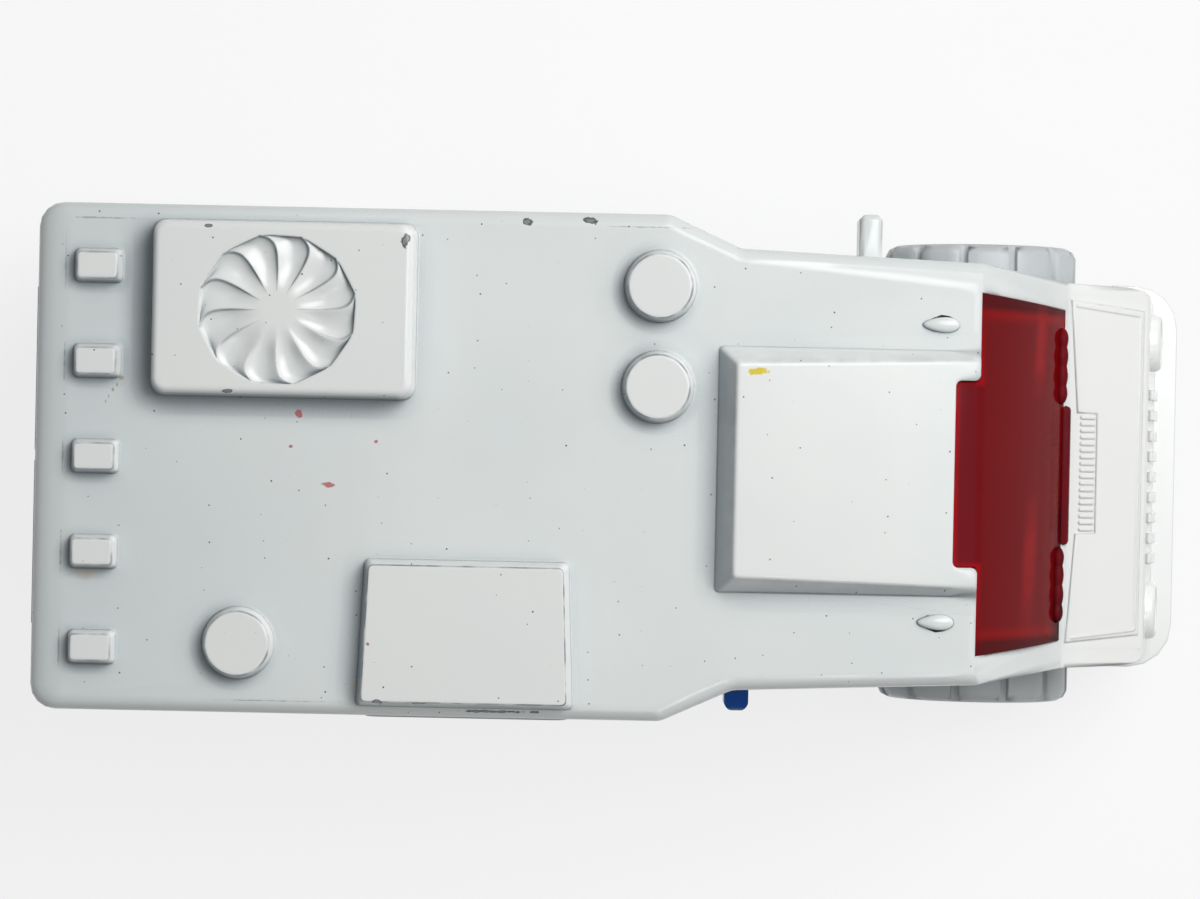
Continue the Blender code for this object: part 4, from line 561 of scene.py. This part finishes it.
# The plate's top edge gets the same fine grey line as the roof relief, partly painted shade.
for vert in bm.verts:
    below_top = hood_point(vert.co.x / mm, 0, hood_lift + plate_thick)[2] - vert.co.z
    vert[edge_wear_and_shade] = plate_line if 0.008 * mm < below_top < 0.08 * mm else 0.0
for start, end in zip(inner_line, inner_line[1:]):
    add_bar(bm, hood_point(*start, plate_thick), hood_point(*end, plate_thick), *line_section)
for step in range(rib_count):
    y = rib_middle + (step - (rib_count - 1) / 2) * rib_pitch
    add_bar(bm, *[hood_point(x, y, rib_lift) for x in rib_ends], *rib_section)
bmesh.ops.recalc_face_normals(bm, faces=bm.faces)
finish_piece(bm, "hood_lines", enamel, "truck")

# Headlamps: two round lamps, each a shallow dome in a raised ring. They are cast in the nose, which leans
# back, and painted with it.

nose_x, nose_z = 37.0 * mm, 10.6 * mm
nose_lean = math.atan2(nose_x - hood_end_x, hood_end_z - nose_z)
lamp_y, lamp_z, lamp_reach = 9.2 * mm, 14.6 * mm, 4 * mm
lamp_x = nose_x - (lamp_z - nose_z) * math.tan(nose_lean)
lamp_profile = [(0, 0.62), (0.7, 0.59), (1.15, 0.48), (1.36, 0.34), (1.44, 0.34), (1.5, 0.58), (1.6, 0.64),
                (1.74, 0.62), (1.86, 0.5), (1.95, 0.3), (1.98, -0.3)]
bm = bmesh.new()
for side in (1, -1):
    ring = [bm.verts.new((out * mm, 0, radius * mm)) for radius, out in lamp_profile]
    outline = ring + [bm.edges.new(pair) for pair in zip(ring, ring[1:])]
    bmesh.ops.spin(bm, geom=outline, cent=(0, 0, 0), axis=(1, 0, 0), angle=2 * math.pi, steps=56, use_merge=True)
    lamp_verts = [v for v in bm.verts if v.co.length < lamp_reach]
    bmesh.ops.remove_doubles(bm, verts=lamp_verts, dist=weld_distance)
    lamp_verts = [v for v in bm.verts if v.co.length < lamp_reach]
    bmesh.ops.rotate(bm, verts=lamp_verts, cent=(0, 0, 0), matrix=Matrix.Rotation(-nose_lean, 3, "Y"))
    bmesh.ops.translate(bm, verts=lamp_verts, vec=(lamp_x, side * lamp_y, lamp_z))
bmesh.ops.recalc_face_normals(bm, faces=bm.faces)
finish_piece(bm, "headlamps", enamel, "truck")

# Cab doors: the outline of each door stands on the cab's side as a fine raised line, with a small pull
# handle on two feet. Both are cast in one with the body.

door_corners = [(8.7, 8.0), (8.7, 30.7), (15.9, 30.7), (15.9, 13.2), (14.6, 8.0), (8.7, 8.0)]
door_section = (0.18 * mm, 0.18 * mm, 0.05 * mm)
handle_z, handle_ends, handle_feet, handle_lift = 19.3, (9.5, 11.3), (9.65, 11.15), 0.22 * mm
grip_section, foot_section = (0.36 * mm, 0.5 * mm, 0.12 * mm), (0.36 * mm, 0.4 * mm, 0.08 * mm)
foot_reach = (-0.1 * mm, 0.3 * mm)


def cab_side(side, x, z, lift=0.0):
    """A point on the cab's side wall, which narrows to the front."""
    return (x * mm, side * (14.3 - 0.65 * (x - 7.2) / 15.6) * mm + side * lift, z * mm)


bm = bmesh.new()
for side in (1, -1):
    for start, end in zip(door_corners, door_corners[1:]):
        add_bar(bm, cab_side(side, *start), cab_side(side, *end), *door_section)
    add_bar(bm, *[cab_side(side, x, handle_z, handle_lift) for x in handle_ends], *grip_section)
    for x in handle_feet:
        add_bar(bm, *[cab_side(side, x, handle_z, lift) for lift in foot_reach], *foot_section)
bmesh.ops.recalc_face_normals(bm, faces=bm.faces)
finish_piece(bm, "cab_door_lines", enamel, "truck")

# Side mouldings: a rub rail along each side of the box, and a rolled lip round each wheel arch. They are
# cast in one with the body and painted with it.

arch_radius, lip_radius, axle_z = 7.72 * mm, 0.26 * mm, 6.67 * mm
rail_ends, rail_y, rail_z = (-36.6 * mm, 1.6 * mm), 16.4 * mm, 15.3 * mm
rail_section = (0.44 * mm, 0.7 * mm, 0.15 * mm)
arch_start, arch_sweep = math.radians(4), math.radians(172)
arches = [(-21.0, 16.4, 0.0), (25.0, 13.45, math.atan2(0.65, 7.0))]
bm = bmesh.new()
for side in (1, -1):
    add_bar(bm, *[(x, side * rail_y, rail_z) for x in rail_ends], *rail_section)
    for axle_x, wall_y, narrowing in arches:
        ring = bmesh.ops.create_circle(bm, cap_ends=True, radius=lip_radius, segments=12,
                                       matrix=Matrix.Translation((arch_radius, 0, 0)))["verts"]
        bmesh.ops.rotate(bm, verts=ring, cent=(0, 0, 0), matrix=Matrix.Rotation(-arch_start, 3, "Y"))
        bmesh.ops.spin(bm, geom=parts_of(ring), cent=(0, 0, 0), axis=(0, -1, 0), angle=arch_sweep, steps=48)
        lip = [v for v in bm.verts if v.co.length < arch_radius + 2 * lip_radius and abs(v.co.y) < 2 * lip_radius]
        bmesh.ops.rotate(bm, verts=lip, cent=(0, 0, 0), matrix=Matrix.Rotation(-side * narrowing, 3, "Z"))
        bmesh.ops.translate(bm, verts=lip, vec=(axle_x * mm, side * wall_y * mm, axle_z))
bmesh.ops.recalc_face_normals(bm, faces=bm.faces)
finish_piece(bm, "side_mouldings", enamel, "truck")

# Window moulding: one red tinted styrene moulding, clipped up inside the cab behind its windows. Its
# windscreen stands up into the opening, bowed a little, with a tongue that bends back into the roof.

# Tinted styrene, injection moulded and glossy: so deep a red that little shows through it. The brighter
# red at its rolled edges, near its ends and in two soft bands is painted glow, the paler tone on faces
# turned up is a painted sheen, and the near black at its ends and foot is painted shade.
glazing, tree, shader, place = new_finish("red_tinted_styrene")
flow = add_node(tree, "TexNoise", {"Vector": place, "Scale": 1 / (6 * mm), "Detail": 1.0})
tint = add_node(tree, "Mix", {0: flow.outputs[0], 6: linear("#7C0A10"), 7: linear("#880C13")})
spot = add_node(tree, "SeparateXYZ", {0: place})
aside = add_node(tree, "Math", {0: spot.outputs["Y"]}, operation="ABSOLUTE")
# Painted glow just inside the pane's ends, and painted shade at the very ends.
glow = add_node(tree, "MapRange", {"Value": aside.outputs[0], 1: 9.8 * mm, 2: 10.3 * mm, 3: 0.0, 4: 0.55})
shade = add_node(tree, "MapRange", {"Value": aside.outputs[0], 1: 10.5 * mm, 2: 10.9 * mm, 3: 0.0, 4: 0.75})
tint = add_node(tree, "Mix", {0: glow.outputs[0], 6: tint.outputs[2], 7: linear("#A80A0C")})
tint = add_node(tree, "Mix", {0: shade.outputs[0], 6: tint.outputs[2], 7: linear("#3C060C")})
lean = add_node(tree, "Math", {0: spot.outputs["Y"], 1: -0.046, 2: spot.outputs["X"]}, operation="MULTIPLY_ADD")
broken = add_node(tree, "TexNoise", {"Vector": place, "Scale": 1 / (3.2 * mm), "Detail": 2.0})
broken = add_node(tree, "MapRange", {"Value": broken.outputs[0], 1: 0.35, 2: 0.6, 3: 0.35, 4: 1.0})
# Two bright red bands of painted glow across the windscreen, and a dark band of painted shade along its foot.
glow_and_shade_bands = [
    (27.1, 0.6, 8.6, 3.6, "#B0161E", 0.8), (27.1, 0.7, -6.0, 5.0, "#B0161E", 0.8),
    (29.75, 0.7, 0.0, 40.0, "#2E080D", 0.9)]
for band_x, half_width, middle_y, half_y, colour, strength in glow_and_shade_bands:
    off = add_node(tree, "Math", {0: lean.outputs[0], 1: band_x * mm}, operation="SUBTRACT")
    off = add_node(tree, "Math", {0: off.outputs[0]}, operation="ABSOLUTE")
    band = add_node(tree, "MapRange", {
        "Value": off.outputs[0], 1: half_width * mm, 2: half_width * 0.25 * mm, 3: 0.0, 4: strength})
    away = add_node(tree, "Math", {0: spot.outputs["Y"], 1: middle_y * mm}, operation="SUBTRACT")
    away = add_node(tree, "Math", {0: away.outputs[0]}, operation="ABSOLUTE")
    run_out = add_node(tree, "MapRange", {"Value": away.outputs[0], 1: half_y * mm, 2: half_y * 0.35 * mm})
    band = add_node(tree, "Math", {0: band.outputs[0], 1: run_out.outputs[0]}, operation="MULTIPLY")
    band = add_node(tree, "Math", {0: band.outputs[0], 1: broken.outputs[0]}, operation="MULTIPLY")
    tint = add_node(tree, "Mix", {0: band.outputs[0], 6: tint.outputs[2], 7: linear(colour)})
# Painted sheen: faces turned up are painted a paler, duller red.
upward_painted_sheen = add_node(tree, "NewGeometry")
upward_painted_sheen = add_node(tree, "SeparateXYZ", {0: upward_painted_sheen.outputs["Normal"]})
upward_painted_sheen = add_node(tree, "MapRange", {"Value": upward_painted_sheen.outputs["Z"], 1: 0.5, 2: 0.95, 3: 0.0, 4: 0.75})
tint = add_node(tree, "Mix", {0: upward_painted_sheen.outputs[0], 6: tint.outputs[2], 7: linear("#7E242C")})
# Painted glow: the rim of the windscreen pane is painted bright red.
rolled = add_node(tree, "Attribute", attribute_name="rim_painted_glow")
rolled = add_node(tree, "Math", {0: rolled.outputs["Fac"], 1: 0.75}, operation="MULTIPLY")
tint = add_node(tree, "Mix", {0: rolled.outputs[0], 6: tint.outputs[2], 7: linear("#C8141A")})
edge_round = add_node(tree, "Bevel", {"Radius": 0.12 * mm}, samples=6)
tree.links.new(edge_round.outputs[0], shader.inputs["Normal"])
tree.links.new(tint.outputs[2], shader.inputs["Base Color"])
shader.inputs["Roughness"].default_value = 0.08
shader.inputs["IOR"].default_value = 1.1
shader.inputs["Specular IOR Level"].default_value = 0.25
shader.inputs["Transmission Weight"].default_value = 0.2

screen_top, screen_foot = Vector((roof_front, 0, roof_z)), Vector((cowl_x, 0, cowl_z))
slope = (screen_foot - screen_top).normalized()
outward = Vector((-slope.z, 0, slope.x))
pane_gap, pane_sunk, pane_bow, pane_thick = 0.03 * mm, 0.04 * mm, 0.4 * mm, 0.9 * mm
pane_top_half, pane_foot_half, pane_foot_x = 11.75 * mm, 11.15 * mm, 29.5 * mm
rim_width, bend_half, tongue_half = 0.34 * mm, 0.35 * mm, 7 * mm
screen_fall, notch_fall = (cowl_z - roof_z) / (screen_foot.x - screen_top.x), -0.22
bend_steps, screen_steps = 5, 20
bm = welded_copy("window_insert")
bmesh.ops.dissolve_limit(bm, angle_limit=math.radians(1), verts=bm.verts, edges=bm.edges)
finish_piece(bm, "window_moulding", glazing, "truck", "window_insert")

bm = bmesh.new()
bend_x = screen_top.x + pane_gap
half_plan = [(notch_x + pane_gap, notch_half - pane_gap), (bend_x, notch_half - pane_gap),
             (bend_x, pane_top_half - pane_gap), (pane_foot_x - pane_gap, pane_foot_half - pane_gap)]
plan = half_plan + [(x, -y) for x, y in reversed(half_plan)]
# This layer marks the pane's rim, which gets the painted glow.
rim_painted_glow = bm.verts.layers.float.new("rim_painted_glow")
bm.faces.new([bm.verts.new((x, y, 0)) for x, y in plan])
bm.normal_update()
bmesh.ops.inset_region(bm, faces=list(bm.faces), thickness=rim_width, use_boundary=True, use_even_offset=True)
for vert in bm.verts:
    vert[rim_painted_glow] = 1.0 if vert.is_boundary and abs(vert.co.y) < tongue_half else 0.0
cuts = [bend_x + bend_half * step / bend_steps for step in range(-bend_steps, bend_steps)]
bend_end = bend_x + bend_half
cuts += [bend_end + (pane_foot_x - bend_end) * step / screen_steps for step in range(screen_steps)]
for cut in cuts:
    bmesh.ops.bisect_plane(bm, geom=everything(bm), plane_no=(1, 0, 0), plane_co=(cut, 0, 0))
for vert in bm.verts:
    along = max(0, (vert.co.x - screen_top.x) / (screen_foot.x - screen_top.x))
    past = vert.co.x - screen_top.x
    bend = min(1, max(0, past / bend_half / 2 + 0.5))
    vert.co.z = roof_z - pane_sunk + notch_fall * past + (screen_fall - notch_fall) * (
        bend_half * bend ** 2 if bend < 1 else past)
    vert.co += outward * pane_bow * 4 * along * (1 - along)
bmesh.ops.recalc_face_normals(bm, faces=bm.faces)
rim = [e for e in bm.edges if e.is_boundary]
fall = bmesh.ops.extrude_edge_only(bm, edges=rim)["geom"]
bmesh.ops.translate(bm, verts=verts_of(fall), vec=-outward * pane_thick)
bmesh.ops.recalc_face_normals(bm, faces=bm.faces)
pane = finish_piece(bm, "windscreen_pane", glazing, "truck")
pane.modifiers.clear()

# Wiper beads: two rows of soft lobes at the foot of the windscreen, and a plain bar between them. They
# are moulded in one with the red windscreen.

bead_start, bead_end, bead_steps, lobe = 4.75 * mm, 9.95 * mm, 64, 1.3 * mm
bead_x, bead_z, bead_half_x, bead_half_z = 29.27 * mm, 22.0 * mm, 0.45 * mm, 0.75 * mm
bar_x, bar_z, bar_half = 29.6 * mm, 20.97 * mm, 4.7 * mm
bar_section = (0.95 * mm, 0.8 * mm, 0.3 * mm)
bead_length = bead_end - bead_start
bm = bmesh.new()
for side in (1, -1):
    bmesh.ops.create_cone(bm, cap_ends=True, segments=20, radius1=1.0, radius2=1.0, depth=bead_length)
    for step in range(1, bead_steps):
        bmesh.ops.bisect_plane(bm, geom=everything(bm), plane_no=(0, 0, 1),
                               plane_co=(0, 0, bead_length * (step / bead_steps - 0.5)))
    for vert in [v for v in bm.verts if v.co.z < bead_length]:
        share = vert.co.z / bead_length + 0.5
        swell = 0.8 + 0.2 * abs(math.sin(math.pi * bead_length * share / lobe))
        swell *= min(1, math.sqrt(max(0, 1 - (2 * share - 1) ** 8)) + 0.02)
        vert.co = (bead_x + bead_half_x * swell * vert.co.x, side * (bead_start + bead_length * share),
                   bead_z + bead_half_z * swell * vert.co.y)
bmesh.ops.recalc_face_normals(bm, faces=bm.faces)
add_bar(bm, (bar_x, -bar_half, bar_z), (bar_x, bar_half, bar_z), *bar_section)
finish_piece(bm, "wiper_beads", glazing, "truck")

# Interior moulding and base plate: floor, bulkhead, seats and counter are one blue moulding, whose tab
# comes out through the right-hand wall, and the base is another that the rivets hold under the body.

lug_y, lug_round = -16.0 * mm, 0.5 * mm

# Coloured polystyrene, injection moulded: an even, deep blue with faint flow clouds and a soft gloss.
blue, tree, shader, place = new_finish("gloss_blue_polystyrene")
flow = add_node(tree, "TexNoise", {"Vector": place, "Scale": 1 / (5 * mm), "Detail": 2.0})
tone = add_node(tree, "Mix", {0: flow.outputs[0], 6: linear("#00489C"), 7: linear("#0458B4")})
tree.links.new(tone.outputs[2], shader.inputs["Base Color"])
rounding = add_node(tree, "Bevel", {"Radius": 0.15 * mm}, samples=6)
tree.links.new(rounding.outputs[0], shader.inputs["Normal"])
shader.inputs["Roughness"].default_value = 0.22
shader.inputs["IOR"].default_value = 1.3
shader.inputs["Specular IOR Level"].default_value = 0.3
bm = welded_copy("interior_insert")
bmesh.ops.dissolve_limit(bm, angle_limit=math.radians(1), verts=bm.verts, edges=bm.edges)
lug_end = [e for e in bm.edges if all(abs(v.co.y - lug_y) < 0.01 * mm for v in e.verts)]
soften(bm, lug_end, lug_round, 4)
finish_piece(bm, "interior_moulding", blue, "truck", "interior_insert")
finish_piece(welded_copy("chassis_base"), "base_plate", blue, "truck", "chassis_base")

# Axles and rivets: two axles of drawn steel wire with headed ends, held in the base's grooves, and two
# rivets that go up through the base into the body's posts.

# Drawn steel wire: bright metal with fine streaks along the wire, satin where they are rough.
steel, tree, shader, place = new_finish("drawn_steel_wire")
across = add_node(tree, "Mapping", {"Vector": place, "Scale": (1 / (0.35 * mm), 1 / (4 * mm), 1 / (0.35 * mm))})
drawing = add_node(tree, "TexNoise", {"Vector": across.outputs[0], "Scale": 1.0, "Detail": 2.0})
tone = add_node(tree, "Mix", {0: drawing.outputs[0], 6: linear("#AEB0B3"), 7: linear("#D2D3D5")})
satin = add_node(tree, "MapRange", {"Value": drawing.outputs[0], 1: 0.3, 2: 0.7, 3: 0.22, 4: 0.4})
tree.links.new(tone.outputs[2], shader.inputs["Base Color"])
tree.links.new(satin.outputs[0], shader.inputs["Roughness"])
shader.inputs["Metallic"].default_value = 1.0
for node in ("axle_front", "axle_rear", "rivet_front", "rivet_rear"):
    finish_piece(welded_copy(node), node + "_steel", steel, "truck", node)

# Wheels: hard plastic tyres with twelve grooves across the tread, pressed on hubs of the same white. Each
# turns on its axle's end.

# White polypropylene, injection moulded: a slightly grey, waxy white with a fine grain, and painted
# shade in the grooves.
tyre_white, tree, shader, place = new_finish("white_polypropylene")
flow = add_node(tree, "TexNoise", {"Vector": place, "Scale": 1 / (2.5 * mm), "Detail": 3.0})
tone = add_node(tree, "Mix", {0: flow.outputs[0], 6: linear("#BCC2C5"), 7: linear("#CCD0D1")})
# Painted shade: grooves and recesses are painted grey.
groove_shade_ao = add_node(tree, "AmbientOcclusion", {"Distance": 1.2 * mm}, samples=6)
groove_shade = add_node(tree, "MapRange", {"Value": groove_shade_ao.outputs["AO"], 1: 0.8, 2: 0.25, 3: 0.0, 4: 0.55})
tone = add_node(tree, "Mix", {0: groove_shade.outputs[0], 6: tone.outputs[2], 7: linear("#8E989D")})
sheen = add_node(tree, "MapRange", {"Value": flow.outputs[0], 1: 0.3, 2: 0.7, 3: 0.34, 4: 0.46})
grain = add_node(tree, "TexNoise", {"Vector": place, "Scale": 1 / (0.25 * mm), "Detail": 2.0})
rounding = add_node(tree, "Bevel", {"Radius": 0.15 * mm}, samples=6)
grain_bump = add_node(tree, "Bump", {
    "Height": grain.outputs[0], "Strength": 0.08, "Distance": 0.03 * mm, "Normal": rounding.outputs[0]})
tree.links.new(tone.outputs[2], shader.inputs["Base Color"])
tree.links.new(sheen.outputs[0], shader.inputs["Roughness"])
tree.links.new(grain_bump.outputs[0], shader.inputs["Normal"])
for end in ("front", "rear"):
    for hand in ("left", "right"):
        for kind in ("tyre", "hub"):
            node = f"{kind}_{end}_{hand}"
            finish_piece(welded_copy(node), node + "_moulded", tyre_white, f"wheel_{end}_{hand}",
                         node)

# Floor: a plain white board under the truck. The camera, gloss and glass see it as nearly white paper,
# and it keeps the truck's soft shadow.

floor_half, paper_share = 1.5, 0.8


def looked_at(tree):
    """One where the camera, gloss or glass look, and nought for light that only falls."""
    path = add_node(tree, "LightPath")
    seen = path.outputs["Is Camera Ray"]
    for kind in ("Is Glossy Ray", "Is Transmission Ray"):
        seen = add_node(tree, "Math", {0: seen, 1: path.outputs[kind]}, operation="MAXIMUM").outputs[0]
    return seen


bm = bmesh.new()
bmesh.ops.create_grid(bm, x_segments=1, y_segments=1, size=floor_half)
mesh = bpy.data.meshes.new("white_board")
bm.to_mesh(mesh)
bm.free()
# Matt white board: no gloss, and no pattern that shows at this distance.
board, tree, shader, place = new_finish("matt_white_board")
shader.inputs["Roughness"].default_value = 0.9
seen = looked_at(tree)
tone = add_node(tree, "Mix", {0: seen, 6: linear("#EEEEEE"), 7: linear("#F6F6F6")})
tree.links.new(tone.outputs[2], shader.inputs["Base Color"])
share = add_node(tree, "Math", {0: seen, 1: paper_share}, operation="MULTIPLY")
paper = add_node(tree, "Emission", {"Color": (1, 1, 1, 1), "Strength": 1.0})
cover = add_node(tree, "MixShader", {0: share.outputs[0], 1: shader.outputs[0], 2: paper.outputs[0]})
tree.links.new(cover.outputs[0], tree.nodes["Material Output"].inputs["Surface"])
mesh.materials.append(board)
floor = bpy.data.objects.new("white_board", mesh)
bpy.context.scene.collection.objects.link(floor)

# Light: a large soft lamp over the truck's left front and a small weak one over its right, in a pale room
# that the camera, gloss and glass see as white.

room_light, aim = 0.18, Vector((0, 0, 0.02))
room = bpy.data.worlds.new("pale_room")
bpy.context.scene.world = room
room.use_nodes = True
tree = room.node_tree
seen = looked_at(tree)
glow = add_node(tree, "MapRange", {"Value": seen, 1: 0.0, 2: 1.0, 3: room_light, 4: 1.0})
wall = tree.nodes["Background"]
wall.inputs["Color"].default_value = (1, 1, 1, 1)
tree.links.new(glow.outputs[0], wall.inputs["Strength"])
for name, spot, size, watts in (("left_lamp", (0.116, 0.094, 0.258), 0.2, 0.59),
                                ("right_lamp", (0.06, -0.12, 0.27), 0.016, 0.03)):
    lamp_data = bpy.data.lights.new(name, "AREA")
    lamp_data.shape = "DISK"
    lamp_data.size = size
    lamp_data.energy = watts
    lamp = bpy.data.objects.new(name, lamp_data)
    lamp.location = spot
    lamp.rotation_euler = (aim - lamp.location).to_track_quat("-Z", "Y").to_euler()
    bpy.context.scene.collection.objects.link(lamp)

# Camera: straight above the roof and turned a little, as in the photograph, at a distance that gives
# about its perspective.

camera_x, camera_y, camera_height, camera_turn = -1.65 * mm, 1.1 * mm, 280 * mm, math.radians(1.2)
frame_width_at_roof = 77.4 * mm
camera_data = bpy.data.cameras.new("overhead_camera")
camera_data.sensor_fit = "HORIZONTAL"
camera_data.sensor_width = 36.0
camera_data.lens = camera_data.sensor_width * camera_height / frame_width_at_roof
camera_data.clip_start = 0.005
camera = bpy.data.objects.new("overhead_camera", camera_data)
camera.location = (camera_x, camera_y, roof_z + camera_height)
camera.rotation_euler = (0, 0, camera_turn)
bpy.context.scene.collection.objects.link(camera)
bpy.context.scene.camera = camera
bpy.context.scene.view_settings.view_transform = "Standard"
